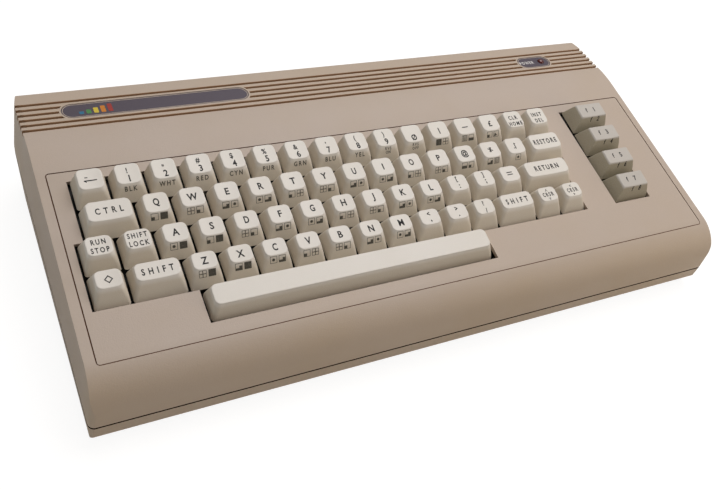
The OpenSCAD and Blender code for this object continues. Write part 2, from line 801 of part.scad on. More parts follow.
module joystick_ports() color(black_plastic) for (i = [0, 1]) joystick_port(joystick_y + i * joystick_pitch);

// A round socket that faces +Y, its face at the origin, standing on the main board.
module din_socket(pins) {
    ring_r = 7.6;
    face_z = board_z + 11.6;
    translate([0, 0, face_z]) rotate([90, 0, 0]) difference() {
        cylinder(r = ring_r + 0.9, h = 14);
        translate([0, 0, -1]) difference() {
            cylinder(r = ring_r, h = 9);
            cylinder(r = 5.9, h = 10);
        }
        for (i = [0:pins - 1])
            rotate([0, 0, 180 - (i - (pins - 1) / 2) * 45]) translate([0, 3.6, -1]) cylinder(r = 0.8, h = 7);
    }
    translate([-8.5, -14, board_top + eps]) cube([17, 8, face_z - board_top - 4]);
}

module av_socket() color(tin) translate([av_x, rear_y - 1.4, 0]) din_socket(5);

module serial_socket() color(tin) translate([serial_x, rear_y - 1.4, 0]) din_socket(5);

module power_socket() color(black_plastic) translate([half_w - 4.4, power_y, 0]) rotate([0, 0, -90]) din_socket(7);

// Power switch: a rocker on a vertical pivot in an open housing.
rocker_x = half_w - 9;
rocker_z = board_z + 11;
rocker_h = 8.4;
rocker_w = 13;
rocker_swing = 8;
pivot_r = 1;

module power_switch_housing() color(black_plastic) translate([rocker_x, switch_y, rocker_z]) {
    difference() {
        translate([-11, -9, -6.5]) cube([16.5, 18, 13]);
        translate([-6, -rocker_w / 2 - 1, -rocker_h / 2 - 0.3]) cube([30, rocker_w + 2, rocker_h + 0.6]);
        translate([0, 0, -5.5]) cylinder(r = pivot_r + 0.06, h = 11);
    }
    translate([-11, -6, -9.4 + eps]) cube([10, 12, 3]);
}

module power_switch_rocker() color(black_plastic)
    translate([rocker_x, switch_y, rocker_z]) rotate([0, 0, -rocker_swing]) {
        translate([0, 0, -rocker_h / 2]) linear_extrude(rocker_h)
            polygon([
                [-2.6, -2.5], [2.5, -rocker_w / 2], [7.4, -rocker_w / 2], [5.6, 0], [7.4, rocker_w / 2],
                [2.5, rocker_w / 2], [-2.6, 2.5]
            ]);
        translate([0, 0, -rocker_h / 2 - 1]) cylinder(r = pivot_r, h = rocker_h + 2);
    }

// Card shield that hangs over the board, under the keyboard.
shield_z = 23.2;

module board_shield() color(tin) {
    translate([-174, -60, shield_z]) cube([138, 74, 0.8]);
    for (x = [-170, -44]) translate([x, -56, board_top + eps]) cube([4, 0.8, shield_z - board_top + 0.4]);
}

module board_screws() color(tin) for (p = board_screw_at)
    translate([p[0], p[1], board_top + eps]) {
        cylinder(r = 3, h = 2);
        translate([0, 0, -6]) cylinder(r = 1.25, h = 7);
    }

// Ribbon cable from the contact board down to its header on the main board.
module keyboard_ribbon() color([0.55, 0.55, 0.58]) {
    translate([-96, 0, 0]) rotate([90, 0, 90]) linear_extrude(48)
        polygon([
            [24, 20], [25.2, 20], [25.2, 39], [14.4, 50.2], [14.4, 51.35], [10, 50.35], [10, 49], [13.8, 49],
            [24, 38.4]
        ]);
    translate([-98, 21.6, board_top + eps]) cube([52, 6, 6.6]);
}

module led_cable() color([0.6, 0.1, 0.1]) {
    for (dx = [-0.9, 0.9])
        wire([
            [led_x + dx, badge_y, top_z - 6.8], [led_x + dx, badge_y, 52], [led_x + dx - 34, badge_y - 14, 44],
            [led_x + dx - 60, badge_y - 24, 30], [led_x + dx - 60, badge_y - 24, board_top + 6]
        ], 0.6);
    translate([led_x - 63, badge_y - 26.5, board_top + eps]) cube([6, 5, 6.2]);
}

top_case();
bottom_case();
name_badge();
power_badge();
power_led();
keyboard_frame();
keyboard_board();
key_springs();
space_bar_stabilizer();
keyboard_ribbon();
led_cable();
main_board();
logic_chips();
memory_chips();
capacitors();
heat_sink();
fuse();
video_shield_box();
rf_modulator();
rf_jack();
channel_switch();
channel_slider();
cartridge_connector();
joystick_ports();
power_socket();
power_switch_housing();
power_switch_rocker();
av_socket();
serial_socket();
board_shield();
rubber_feet();
case_screws();
board_screws();
keyboard_screws();
key_bank(0, number_row);  // number_row_keys
key_bank(1, upper_row);  // upper_row_keys
key_bank(2, home_row);  // home_row_keys
key_bank(3, lower_row);  // lower_row_keys
single_key("home_key");  // home_key
single_key("delete_key");  // delete_key
single_key("control_key");  // control_key
single_key("restore_key");  // restore_key
single_key("run_stop_key");  // run_stop_key
single_key("shift_lock_key");  // shift_lock_key
single_key("return_key");  // return_key
single_key("command_key");  // command_key
single_key("left_shift_key");  // left_shift_key
single_key("right_shift_key");  // right_shift_key
single_key("cursor_down_key");  // cursor_down_key
single_key("cursor_right_key");  // cursor_right_key
space_bar();
function_key(0);  // function_key_1
function_key(1);  // function_key_3
function_key(2);  // function_key_5
function_key(3);  // function_key_7
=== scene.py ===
"""Vintage home computer: the looks of its shells, keys, badges, boards and sockets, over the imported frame.

Sizes are in millimetres while a piece is shaped, and in metres once it is placed. Origin on the table under the
middle of the case, +X right, +Y to the rear, +Z up.
"""

from __future__ import annotations

import json
import logging
from dataclasses import dataclass
from enum import Enum, auto
from functools import cache, cached_property, partialmethod
from math import atan2, copysign, cos, degrees, hypot, pi, radians, sin, sqrt, tan, tau
from typing import Any, Callable, Iterable, Sequence

import bmesh
import bpy
from mathutils import Matrix, Vector

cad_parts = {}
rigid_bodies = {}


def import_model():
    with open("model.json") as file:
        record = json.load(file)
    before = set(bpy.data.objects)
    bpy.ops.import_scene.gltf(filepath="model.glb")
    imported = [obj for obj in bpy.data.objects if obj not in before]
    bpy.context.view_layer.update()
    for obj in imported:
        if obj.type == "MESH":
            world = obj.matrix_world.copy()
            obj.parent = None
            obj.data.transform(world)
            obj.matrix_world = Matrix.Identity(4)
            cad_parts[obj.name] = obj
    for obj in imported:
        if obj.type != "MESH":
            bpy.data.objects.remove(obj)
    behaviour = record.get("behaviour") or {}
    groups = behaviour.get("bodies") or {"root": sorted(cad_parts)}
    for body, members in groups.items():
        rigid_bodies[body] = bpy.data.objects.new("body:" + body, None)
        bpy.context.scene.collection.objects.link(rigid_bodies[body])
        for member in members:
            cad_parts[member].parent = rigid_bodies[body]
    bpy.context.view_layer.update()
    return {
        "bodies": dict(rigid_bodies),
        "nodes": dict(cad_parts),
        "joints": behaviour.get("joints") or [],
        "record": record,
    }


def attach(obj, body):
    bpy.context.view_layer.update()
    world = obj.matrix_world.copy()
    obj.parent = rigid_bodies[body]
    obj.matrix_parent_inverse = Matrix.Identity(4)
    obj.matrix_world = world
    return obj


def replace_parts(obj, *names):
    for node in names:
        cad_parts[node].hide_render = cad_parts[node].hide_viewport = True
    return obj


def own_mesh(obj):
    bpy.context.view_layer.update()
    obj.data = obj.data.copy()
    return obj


Point = tuple[float, float]
Triple = tuple[float, float, float]
Vert, Edge, Face = bmesh.types.BMVert, bmesh.types.BMEdge, bmesh.types.BMFace
Mesh, Object = bpy.types.Mesh, bpy.types.Object


def moved(x: float, y: float, z: float = 0.0) -> Matrix:
    """A frame at a point."""
    return Matrix.Translation((x, y, z))


def turned(angle: float, axis: str) -> Matrix:
    """A frame turned about an axis, in degrees."""
    return Matrix.Rotation(radians(angle), 4, axis)


def srgb(*levels: int) -> Triple:
    """A colour as the screen shows it, from 0 to 255, made linear."""
    shares = (level / 255.0 for level in levels)
    return tuple(share / 12.92 if share <= 0.04045 else ((share + 0.055) / 1.055) ** 2.4 for share in shares)


LOG = logging.getLogger("home_computer")
MM = 0.001
PITCH = 19.05
CAP_GAP = 1.25
CASE_TOP = 70.5
DECK_SLOPE = 10.3
DECK_REAR = 19.9
DECK_TOP = 67.0
KEY_FRAME = moved(-184.5, 3.5, 73.8) @ turned(13.0, "X")
DECK_FRAME = moved(0.0, DECK_REAR, DECK_TOP) @ turned(DECK_SLOPE, "X")
SEAM_FRAME = moved(0.0, -104.0, 17.5) @ turned(7.5, "X")
KEY_UP = KEY_FRAME.to_3x3() @ Vector((0, 0, 1))
WORLD = Matrix.Identity(4)


# ---------------------------------------------------------------- shader maths


class Signal:
    """An output of a node, which takes part in Python expressions."""

    def __init__(self, graph: Graph, socket: bpy.types.NodeSocket | None) -> None:
        """Wrap one socket of a graph."""
        self.graph = graph
        self.socket = socket

    def _maths(self, operation: str, *others: Any) -> Signal:
        """A Math node on this value and others."""
        return self.graph.node("Math", dict(enumerate((self, *others))), operation=operation)

    __add__ = __radd__ = partialmethod(_maths, "ADD")
    __mul__ = __rmul__ = partialmethod(_maths, "MULTIPLY")
    __sub__ = partialmethod(_maths, "SUBTRACT")
    __truediv__ = partialmethod(_maths, "DIVIDE")
    __gt__ = partialmethod(_maths, "GREATER_THAN")
    __lt__ = partialmethod(_maths, "LESS_THAN")
    size = partialmethod(_maths, "ABSOLUTE")
    most = partialmethod(_maths, "MAXIMUM")

    def __rsub__(self, other: float) -> Signal:
        """Difference from a number."""
        return self.graph.node("Math", {0: other, 1: self}, operation="SUBTRACT")

    def wave(self, length: float) -> Signal:
        """A triangle wave from 0 to 1 that repeats every two lengths."""
        return self._maths("PINGPONG", length) / length

    def soft(self, low: float, high: float) -> Signal:
        """A smooth step from 0 at low to 1 at high."""
        ends = {0: self, 1: low, 2: high, 3: 0.0, 4: 1.0}
        return self.graph.node("MapRange", ends, interpolation_type="SMOOTHSTEP")


class Graph:
    """A node tree that is written as expressions."""

    def __init__(self, tree: bpy.types.NodeTree) -> None:
        """Empty a tree."""
        self.tree = tree
        tree.nodes.clear()

    def node(self, kind: str, sockets: dict[Any, Any], output: int | str = 0, **settings: Any) -> Signal:
        """Add any node.

        Args:
            kind: The node's type, without ShaderNode.
            sockets: Values or signals for its inputs, by index or name.
            output: Which output comes back.
            **settings: Its properties, set first.

        Returns:
            The chosen output as a signal.
        """
        made = self.tree.nodes.new("ShaderNode" + kind)
        for key, value in settings.items():
            setattr(made, key, value)
        for key, value in sockets.items():
            target = made.inputs[key]
            if isinstance(value, Signal):
                self.tree.links.new(value.socket, target)
            else:
                target.default_value = (*value, 1.0) if target.type == "RGBA" else value
        return Signal(self, made.outputs[output] if made.outputs else None)

    @cached_property
    def coordinates(self) -> Signal:
        """Object coordinates as a vector."""
        return self.node("TexCoord", {}, "Object")

    @cached_property
    def place(self) -> tuple[Signal, ...]:
        """Object coordinates in metres, as three signals."""
        return tuple(self.node("SeparateXYZ", {0: self.coordinates}, axis) for axis in "XYZ")

    def noise(self, scale: float, detail: float = 2.0, rough: float = 0.5, vector: Signal | None = None) -> Signal:
        """Noise of about one wave per 1 / scale metres, round 0.5."""
        vector = vector or self.coordinates
        return self.node("TexNoise", {"Vector": vector, "Scale": scale, "Detail": detail, "Roughness": rough})

    def mix(self, factor: Signal, first: Signal | Triple, second: Triple) -> Signal:
        """A colour between two colours."""
        return self.node("Mix", {0: factor, 6: first, 7: second}, 2, data_type="RGBA", clamp_factor=True)

    def bump(self, height: Signal, strength: float, distance: float) -> Signal:
        """A normal that follows a height."""
        return self.node("Bump", {"Strength": strength, "Distance": distance, "Height": height})


# ---------------------------------------------------------------- finishes


@dataclass(frozen=True)
class Finish:
    """The base of all finishes: a name, a main colour, and what feeds the shader."""

    name: str
    colour: Triple

    def sockets(self, graph: Graph) -> dict[str, Any]:
        """The Principled shader's inputs."""
        raise NotImplementedError

    def shader(self, graph: Graph) -> Signal:
        """The shader that the surface gets."""
        return graph.node("BsdfPrincipled", self.sockets(graph))

    @cache
    def material(self) -> bpy.types.Material:
        """The material, made once."""
        made = bpy.data.materials.new(self.name)
        made.use_nodes = True
        graph = Graph(made.node_tree)
        graph.node("OutputMaterial", {"Surface": self.shader(graph)})
        return made


def dimmed(colour: Triple, share: float) -> Triple:
    """A colour times a share."""
    return tuple(channel * share for channel in colour)


@dataclass(frozen=True)
class MouldedPlastic(Finish):
    """Moulded plastic with a fine texture, faint mottling and some yellowing."""

    # aged colour; KeyPlastic also uses it for the painted shade down the caps' sides
    aged_and_shaded: Triple
    ageing: float = 0.35
    speckle: float = 0.10
    grain: float = 1500.0
    relief: float = 0.25
    rough: float = 0.5
    shine: float = 0.5

    def sockets(self, graph: Graph) -> dict[str, Any]:
        """The Principled shader's inputs."""
        patches = graph.noise(38.0, 4.0, 0.6)
        age = (graph.noise(9.0, 3.0).soft(0.32, 0.72) * 0.7 + patches.soft(0.35, 0.75) * 0.3) * self.ageing
        base = graph.mix(self.spread(graph, age), self.colour, self.aged_and_shaded)
        fine = graph.noise(self.grain, 2.0, 0.6)
        specks = fine.soft(0.35, 0.75) * self.speckle * 3.0
        return {
            "Base Color": graph.mix(specks, base, dimmed(self.colour, 1.0 - self.speckle)),
            "Roughness": patches * 0.12 + (self.rough - 0.06),
            "Specular IOR Level": self.shine,
            "Normal": graph.bump(fine, self.relief, 0.0003),
        }

    def spread(self, graph: Graph, age: Signal) -> Signal:
        """Where the ageing shows: here everywhere alike."""
        return age


@dataclass(frozen=True)
class CasePlastic(MouldedPlastic):
    """Case plastic, tinted yellower on the nose and the rear strip."""

    nose_and_strip_tint: float = 0.55

    def spread(self, graph: Graph, age: Signal) -> Signal:
        """Where the ageing shows, plus a yellower tint in front of and behind the deck."""
        back = graph.place[1]
        return age + ((0.0 - back).soft(0.086, 0.102) + back.soft(0.046, 0.056) * 0.5) * self.nose_and_strip_tint


@dataclass(frozen=True)
class KeyPlastic(MouldedPlastic):
    """Key plastic with painted shade and warm bounce light down the caps' sides: browner and duller further below the
    tops.
    """

    side_shade: float = 0.6
    fade: float = 0.003

    def spread(self, graph: Graph, age: Signal) -> Signal:
        """Where the ageing shows, plus painted shade that grows further below the caps' tops."""
        _, back, height = graph.place
        origin = KEY_FRAME.translation * MM
        depth = (origin.z - height) * KEY_UP.z + (back - origin.y) * -KEY_UP.y
        # painted shade: the further a point lies below the cap's top, the more its colour turns darker and browner
        return age + depth.soft(0.0004, self.fade) * self.side_shade


@dataclass(frozen=True)
class Ink(Finish):
    """Legend filling: nearly even, a little worn and matt."""

    worn: Triple

    def sockets(self, graph: Graph) -> dict[str, Any]:
        """The Principled shader's inputs."""
        wear = graph.noise(900.0, 3.0, 0.6)
        base = graph.mix(wear.soft(0.45, 0.85), self.colour, self.worn)
        return {"Base Color": base, "Roughness": wear * 0.2 + 0.45, "Specular IOR Level": 0.3}


@dataclass(frozen=True)
class BareMetal(Finish):
    """Sheet or wire with a dull rolled finish and light tarnish."""

    rough: float = 0.34
    along: float = 260.0

    def sockets(self, graph: Graph) -> dict[str, Any]:
        """The Principled shader's inputs."""
        across, up, height = graph.place
        drawn = graph.node("CombineXYZ", {0: across * 0.08, 1: up, 2: height})
        streaks = graph.noise(self.along * 6.0, 3.0, vector=drawn)
        tarnish = graph.noise(self.along, 4.0, 0.6)
        return {
            "Base Color": graph.mix(tarnish.soft(0.4, 0.8), self.colour, dimmed(self.colour, 0.62)),
            "Metallic": 1.0,
            "Roughness": streaks * 0.16 + tarnish * 0.1 + (self.rough - 0.12),
            "Normal": graph.bump(streaks, 0.08, 0.0001),
        }


@dataclass(frozen=True)
class BoardLacquer(Finish):
    """A circuit board's lacquer with faint tracks under it and tinned contact pads at its rear tabs."""

    track: Triple
    tabs: float = 1.0
    pad: Triple = (0.62, 0.50, 0.30)
    spacing: float = 0.00127

    def sockets(self, graph: Graph) -> dict[str, Any]:
        """The Principled shader's inputs."""
        across, along, height = graph.place
        wander = graph.noise(70.0, 0.0) * 0.004
        rows, columns = ((axis + wander).wave(self.spacing) > 0.62 for axis in (along, across))
        zones = graph.noise(42.0, 0.0) > 0.5
        lines = (rows * zones + columns * (1.0 - zones)) * (graph.noise(120.0, 1.0) > 0.42)
        pads = (along > 0.0942) * self.tabs * (height.size() < 0.0160)
        base = graph.mix(lines * 0.8, self.colour, self.track)
        return {
            "Base Color": graph.mix(pads * (across.wave(0.00198) > 0.4), base, self.pad),
            "Metallic": pads * 0.8,
            "Roughness": graph.noise(1400.0) * 0.12 + 0.28,
            "Normal": graph.bump(lines, 0.25, 0.00005),
        }


@dataclass(frozen=True)
class Glow(Finish):
    """Clear coloured plastic of a lamp that is off: dark, glossy and swirled."""

    deep: Triple

    def sockets(self, graph: Graph) -> dict[str, Any]:
        """The Principled shader's inputs."""
        swirl = graph.noise(700.0)
        base = graph.mix(swirl.soft(0.3, 0.8), self.deep, self.colour)
        return {"Base Color": base, "Roughness": swirl * 0.05 + 0.1, "Coat Weight": 0.6, "Coat Roughness": 0.05}


@dataclass(frozen=True)
class Ribbon(Finish):
    """Flat cable: pale insulation ribbed along its wires, with painted shade in the grooves between the ribs."""

    groove: Triple
    spacing: float = 0.00127

    def sockets(self, graph: Graph) -> dict[str, Any]:
        """The Principled shader's inputs."""
        ribs = graph.place[0].wave(self.spacing / 2.0)
        return {
            # painted shade: the grooves between the ribs take the darker colour
            "Base Color": graph.mix(ribs.soft(0.1, 0.4), self.groove, self.colour),
            "Roughness": graph.noise(500.0) * 0.15 + 0.4,
            "Normal": graph.bump(ribs, 0.5, 0.0004),
        }


@dataclass(frozen=True)
class Paper(Finish):
    """The floor's paper, which the camera sees as nearly white."""

    fibre: Triple
    veil: float = 0.72

    def shader(self, graph: Graph) -> Signal:
        """The shader that the surface gets."""
        paper = graph.node("BsdfDiffuse", {"Color": graph.mix(graph.noise(300.0, 3.0), self.colour, self.fibre)})
        white = graph.node("Emission", {"Color": (1.0, 1.0, 1.0), "Strength": 1.25})
        seen = graph.node("LightPath", {}, "Is Camera Ray")
        return graph.node("MixShader", {0: seen * self.veil, 1: paper, 2: white})


BEIGE = srgb(194, 179, 168)
CASE = CasePlastic("case_plastic", BEIGE, srgb(190, 170, 146), relief=0.3, rough=0.52, shine=0.35)
# seam faces: near-black painted shade in the gap between the halves
SEAM_SHADE = MouldedPlastic("seam_shade", srgb(38, 22, 12), srgb(28, 16, 9), relief=0.3, rough=0.8, shine=0.1)
# panel line faces: dark reddish brown, partly dirt and partly painted shade in the narrow line
LINE_DIRT_AND_SHADE = MouldedPlastic("panel_line_dirt_and_shade", srgb(112, 80, 62), srgb(92, 64, 48), relief=0.3, rough=0.8, shine=0.1)
# groove faces: dark brown, partly dirt and partly painted shade in the grooves
GROOVE_DIRT_AND_SHADE = MouldedPlastic("groove_plastic", srgb(160, 128, 100), srgb(132, 100, 76), relief=0.3, rough=0.7, shine=0.2)
# key caps: their sides get painted shade from KeyPlastic
CAP = KeyPlastic("key_plastic", srgb(232, 227, 221), srgb(200, 187, 165), 0.14, 0.06, 2200.0, 0.18, 0.42, 0.4)
# function caps: strong painted shade that starts just below the tops
FUNCTION_CAP = KeyPlastic(
    "function_key_plastic", srgb(198, 192, 186), srgb(158, 149, 128), 0.14, 0.08, 2000.0, 0.2, 0.45, 0.4, 0.9, 0.0012
)
BLACK = MouldedPlastic("black_plastic", (0.018, 0.018, 0.02), (0.03, 0.028, 0.026), 0.5, 0.3, 1800.0, 0.25, 0.45)
FRAME_BLACK = MouldedPlastic("frame_plastic", (0.012, 0.012, 0.013), (0.02, 0.018, 0.016), 0.5, 0.3, 900.0, 0.3, 0.6)
RUBBER = MouldedPlastic("foot_rubber", (0.022, 0.022, 0.023), (0.06, 0.055, 0.05), 0.6, 0.3, 1200.0, 0.5, 0.85, 0.2)
CHIP = MouldedPlastic("chip_resin", (0.02, 0.02, 0.022), (0.035, 0.033, 0.03), 0.4, 0.3, 2600.0, 0.3, 0.6)
SLEEVE = MouldedPlastic("capacitor_sleeve", (0.02, 0.04, 0.13), (0.03, 0.05, 0.12), 0.4, 0.2, 1500.0, 0.1, 0.3)
BADGE = MouldedPlastic("badge_lacquer", srgb(88, 80, 92), srgb(78, 72, 82), 0.4, 0.1, 2500.0, 0.08, 0.35)
RIM = MouldedPlastic("badge_rim", srgb(196, 180, 166), srgb(186, 166, 150), 0.3, 0.05, 2500.0, 0.1, 0.35)
LEAD = MouldedPlastic("lead_insulation", (0.35, 0.03, 0.02), (0.3, 0.04, 0.03), 0.3, 0.1, 900.0, 0.1, 0.4)
TIN = BareMetal("tin_plate", (0.72, 0.71, 0.68))
SPRING = BareMetal("spring_wire", (0.6, 0.6, 0.6), 0.28, 900.0)
SOCKET = BareMetal("socket_metal", (0.66, 0.66, 0.65), 0.3, 500.0)
BOARD = BoardLacquer("board_lacquer", (0.018, 0.085, 0.035), (0.03, 0.15, 0.06))
CONTACT_BOARD = BoardLacquer("contact_board_lacquer", (0.07, 0.055, 0.02), (0.16, 0.12, 0.05), 0.0)
TOP_INK = Ink("legend_ink", srgb(20, 18, 21), srgb(46, 42, 44))
FRONT_INK = Ink("front_legend_ink", srgb(80, 78, 72), srgb(116, 111, 102))
WHITE_INK = Ink("white_ink", srgb(232, 230, 228), srgb(206, 202, 200))
LAMP = Glow("lamp_lens", (0.16, 0.006, 0.008), (0.055, 0.002, 0.003))
# ribbon: its second colour is painted shade in the grooves
RIBBON = Ribbon("ribbon_insulation", (0.42, 0.42, 0.45), (0.18, 0.18, 0.2))
PAPER = Paper("floor_paper", (0.78, 0.77, 0.75), (0.82, 0.81, 0.79))


# ---------------------------------------------------------------- forms


@dataclass(frozen=True)
class Ring:
    """A rounded rectangle at a height."""

    width: float
    depth: float
    radius: float
    z: float
    y: float = 0.0

    def point(self, index: int, corner: int, straight: int = 0) -> Vector:
        """The place of one of its vertices, each corner followed by the straight side after it."""
        quarter, step = divmod(index, corner + straight)
        if step < corner:
            return self.rounded(quarter, step / (corner - 1))
        share = (step - corner + 1) / (straight + 1)
        return self.rounded(quarter, 1.0).lerp(self.rounded((quarter + 1) % 4, 0.0), share)

    def rounded(self, quarter: int, share: float) -> Vector:
        """A point on one of the four corners."""
        angle = pi / 2.0 * (quarter + share)
        right = 1.0 if quarter in (0, 3) else -1.0
        back = 1.0 if quarter in (0, 1) else -1.0
        radius = min(self.radius, self.width / 2.0 - 0.01, self.depth / 2.0 - 0.01)
        x = right * (self.width / 2.0 - radius) + radius * cos(angle)
        return Vector((x, back * (self.depth / 2.0 - radius) + radius * sin(angle) + self.y, self.z))

    def shrunk(self, by: float, z: float) -> Ring:
        """The ring pulled in on all sides and set at another height."""
        return Ring(self.width - 2.0 * by, self.depth - 2.0 * by, max(0.3, self.radius - by * 0.6), z, self.y)


class Form:
    """A mesh in millimetres that operators shape and that ends as one piece."""

    def __init__(self) -> None:
        """Start with nothing."""
        self.bm = bmesh.new()

    def vert(self, *place: float) -> Vert:
        """Add one vertex."""
        return bmesh.ops.create_vert(self.bm, co=place)["vert"][0]

    def since(self, old: set[Vert]) -> list[Vert]:
        """The vertices that weren't there before."""
        return [vert for vert in self.bm.verts if vert not in old]

    def block(self, low: Sequence[float], high: Sequence[float]) -> list[Vert]:
        """Add a box between two corners."""
        size = Vector(high) - Vector(low)
        matrix = Matrix.Translation((Vector(low) + Vector(high)) / 2.0) @ Matrix.Diagonal((*size, 1.0))
        return bmesh.ops.create_cube(self.bm, size=1.0, matrix=matrix)["verts"]

    def rod(self, radius: float, low: float, high: float, frame: Matrix = WORLD, segments: int = 24) -> None:
        """Add a closed cylinder along Z of a frame, from low to high."""
        bmesh.ops.create_cone(
            self.bm, cap_ends=True, segments=segments, radius1=radius, radius2=radius, depth=high - low,
            matrix=frame @ moved(0.0, 0.0, (low + high) / 2.0),
        )

    def lathe(self, line: Sequence[Point], frame: Matrix = WORLD, segments: int = 32) -> None:
        """Turn a line of (radius, height) points that starts and ends on the axis into a closed form."""
        old = set(self.bm.verts)
        made, edges = [self.vert(line[0][0], 0.0, line[0][1])], []
        for radius, height in line[1:]:
            grown = bmesh.ops.extrude_vert_indiv(self.bm, verts=[made[-1]])
            edges += grown["edges"]
            made.append(grown["verts"][0])
            made[-1].co = (radius, 0.0, height)
        bmesh.ops.spin(
            self.bm, geom=made + edges, cent=(0, 0, 0), axis=(0, 0, 1), angle=tau, steps=segments, use_merge=True
        )
        bmesh.ops.remove_doubles(self.bm, verts=self.since(old), dist=0.002)
        self.place(frame, self.since(old))

    def grow(self, face: Face) -> Face:
        """Extrude one face and return the new one, still in the old one's place."""
        grown = bmesh.ops.extrude_face_region(self.bm, geom=[face, *face.edges])["geom"]
        return next(item for item in grown if isinstance(item, Face))

    def stack(self, rings: Sequence[Ring], corner: int = 6, straight: int = 0) -> list[Vert]:
        """Grow a closed form through rounded rectangles, one extrusion for each.

        Args:
            rings: The rounded rectangles, from the first face to the last.
            corner: Vertices in each corner.
            straight: Vertices between two corners.

        Returns:
            Its vertices.
        """
        count = 4 * (corner + straight)
        made = list(bmesh.ops.create_circle(self.bm, cap_ends=True, segments=count, radius=1.0)["verts"])
        face = made[0].link_faces[0]
        places = {vert: index for index, vert in enumerate(made)}
        for step, ring in enumerate(rings):
            if step:
                face = self.grow(face)
                places = {
                    vert: next(places[other] for edge in vert.link_edges if (other := edge.other_vert(vert)) in places)
                    for vert in face.verts
                }
                made += places
            for vert, index in places.items():
                vert.co = ring.point(index, corner, straight)
        return made

    def loop(self, rings: Sequence[Ring], corner: int = 6) -> list[Vert]:
        """Grow a closed band through rounded rectangles and join its ends."""
        made = self.stack(rings, corner)
        caps = {face for vert in made for face in vert.link_faces if len(face.verts) > 4}
        bmesh.ops.delete(self.bm, geom=list(caps), context="FACES_ONLY")
        ends = {edge for vert in made for edge in vert.link_edges if edge.is_boundary}
        bmesh.ops.bridge_loops(self.bm, edges=list(ends))
        return made

    def prism(self, outline: Sequence[Point], low: float, high: float, lip: float) -> None:
        """Add an outline extruded along Z, its upper part flared by a rounded lip.

        Args:
            outline: Corners in the XY plane, anticlockwise, at the flare's widest.
            low: Height of the lower end.
            high: Height of the upper end. The flare starts at Z = 0.
            lip: Radius of the flare.
        """
        verts = [self.vert(x, y, 0.02) for x, y in outline]
        edges = [self.bm.edges.new(pair) for pair in zip(verts, verts[1:] + verts[:1])]
        face = bmesh.ops.contextual_create(self.bm, geom=edges)["faces"][0]
        face.normal_update()
        if face.normal.z > 0:
            face.normal_flip()
        for vert in self.grow(face).verts:
            vert.co.z = high
        bmesh.ops.recalc_face_normals(self.bm, faces=self.bm.faces[:])
        for wide, deep in ((0.5, 0.134), (0.366, 0.366), (0.134, 0.5)):
            bmesh.ops.inset_region(
                self.bm, faces=[face], thickness=wide * lip, depth=-deep * lip, use_even_offset=True
            )
        for vert in self.grow(face).verts:
            vert.co.z = low

    def bisect(self, at: Vector, outwards: Vector, clear: bool = True) -> None:
        """Add edges where a plane meets the form, and clear what lies outwards of it, if asked, and close the cut."""
        geometry = self.bm.verts[:] + self.bm.edges[:] + self.bm.faces[:]
        bmesh.ops.bisect_plane(self.bm, geom=geometry, plane_co=at, plane_no=outwards, clear_outer=clear)
        rim = [edge for edge in self.bm.edges if clear and edge.is_boundary]
        if rim:
            bmesh.ops.edgeloop_fill(self.bm, edges=rim)

    def divide(self, at: float, axis: int = 1) -> None:
        """Add edges where the plane at a value of Y, or of another axis, meets the form."""
        across = Vector([float(index == axis) for index in range(3)])
        self.bisect(across * at, across, clear=False)

    def round(self, edges: Iterable[Edge], width: float, segments: int = 3) -> None:
        """Round some edges."""
        bmesh.ops.bevel(
            self.bm, geom=list(edges), offset=width, offset_type="OFFSET", affect="EDGES", segments=segments,
            profile=0.5, material=-1, clamp_overlap=True,
        )

    def sharp(self, angle: float = 40.0) -> list[Edge]:
        """The edges that turn by more than an angle in degrees."""
        return [edge for edge in self.bm.edges if len(edge.link_faces) == 2 and edge.calc_face_angle() > radians(angle)]

    def place(self, matrix: Matrix, verts: Iterable[Vert] | None = None) -> None:
        """Move the form, or some of its vertices, by a frame in millimetres."""
        bmesh.ops.transform(self.bm, matrix=matrix, verts=list(self.bm.verts if verts is None else verts))

    def add(self, mesh: Mesh, matrix: Matrix = WORLD) -> None:
        """Add a copy of a ready mesh, placed by a frame."""
        before = len(self.bm.verts)
        self.bm.from_mesh(mesh)
        self.bm.verts.ensure_lookup_table()
        self.place(matrix, self.bm.verts[before:])

    def mesh(self, name: str) -> Mesh:
        """The form as a mesh, still in millimetres."""
        bmesh.ops.recalc_face_normals(self.bm, faces=self.bm.faces[:])
        made = bpy.data.meshes.new(name)
        self.bm.to_mesh(made)
        self.bm.free()
        return made

    def object(self, name: str, finish: Finish) -> Object:
        """The form as an object in millimetres, for cutting."""
        made = bpy.data.objects.new(name, self.mesh(name))
        made.data.materials.append(finish.material())
        bpy.context.collection.objects.link(made)
        return made

    def piece(self, name: str, finish: Finish, body: str, slot: str, smooth: float = 35.0) -> Object:
        """The form as a finished piece in metres.

        Args:
            name: The piece's name.
            finish: Its finish.
            body: The body it rides on.
            slot: Not used.
            smooth: Edges that turn by more degrees than this stay sharp.

        Returns:
            The piece.
        """
        return finished(self.object(name, finish), body, slot, smooth)


def finished(made: Object, body: str, slot: str, smooth: float = 35.0) -> Object:
    """Bring an object from millimetres to metres, shade it, and let it ride on its body."""
    made.data.transform(Matrix.Scale(MM, 4))
    made.data.shade_smooth()
    made.data.set_sharp_from_angle(angle=radians(smooth))
    weighted = made.modifiers.new("even_normals", "WEIGHTED_NORMAL")
    weighted.keep_sharp = True
    weighted.weight = 90
    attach(made, body)
    LOG.info("piece %s: %d faces on %s", made.name, len(made.data.polygons), body)
    return made


def carve(target: Object, *tools: Object) -> None:
    """Cut tools out of a target by exact Booleans, one after another, and throw the tools away."""
    for tool in tools:
        step = target.modifiers.new("carve", "BOOLEAN")
        step.operation = "DIFFERENCE"
        step.solver = "EXACT"
        step.material_mode = "TRANSFER"
        step.object = tool
        graph = bpy.context.evaluated_depsgraph_get()
        old, target.data = target.data, bpy.data.meshes.new_from_object(target.evaluated_get(graph))
        target.modifiers.clear()
        bpy.data.meshes.remove(old)
        bpy.data.objects.remove(tool)


# ---------------------------------------------------------------- badges and lamp


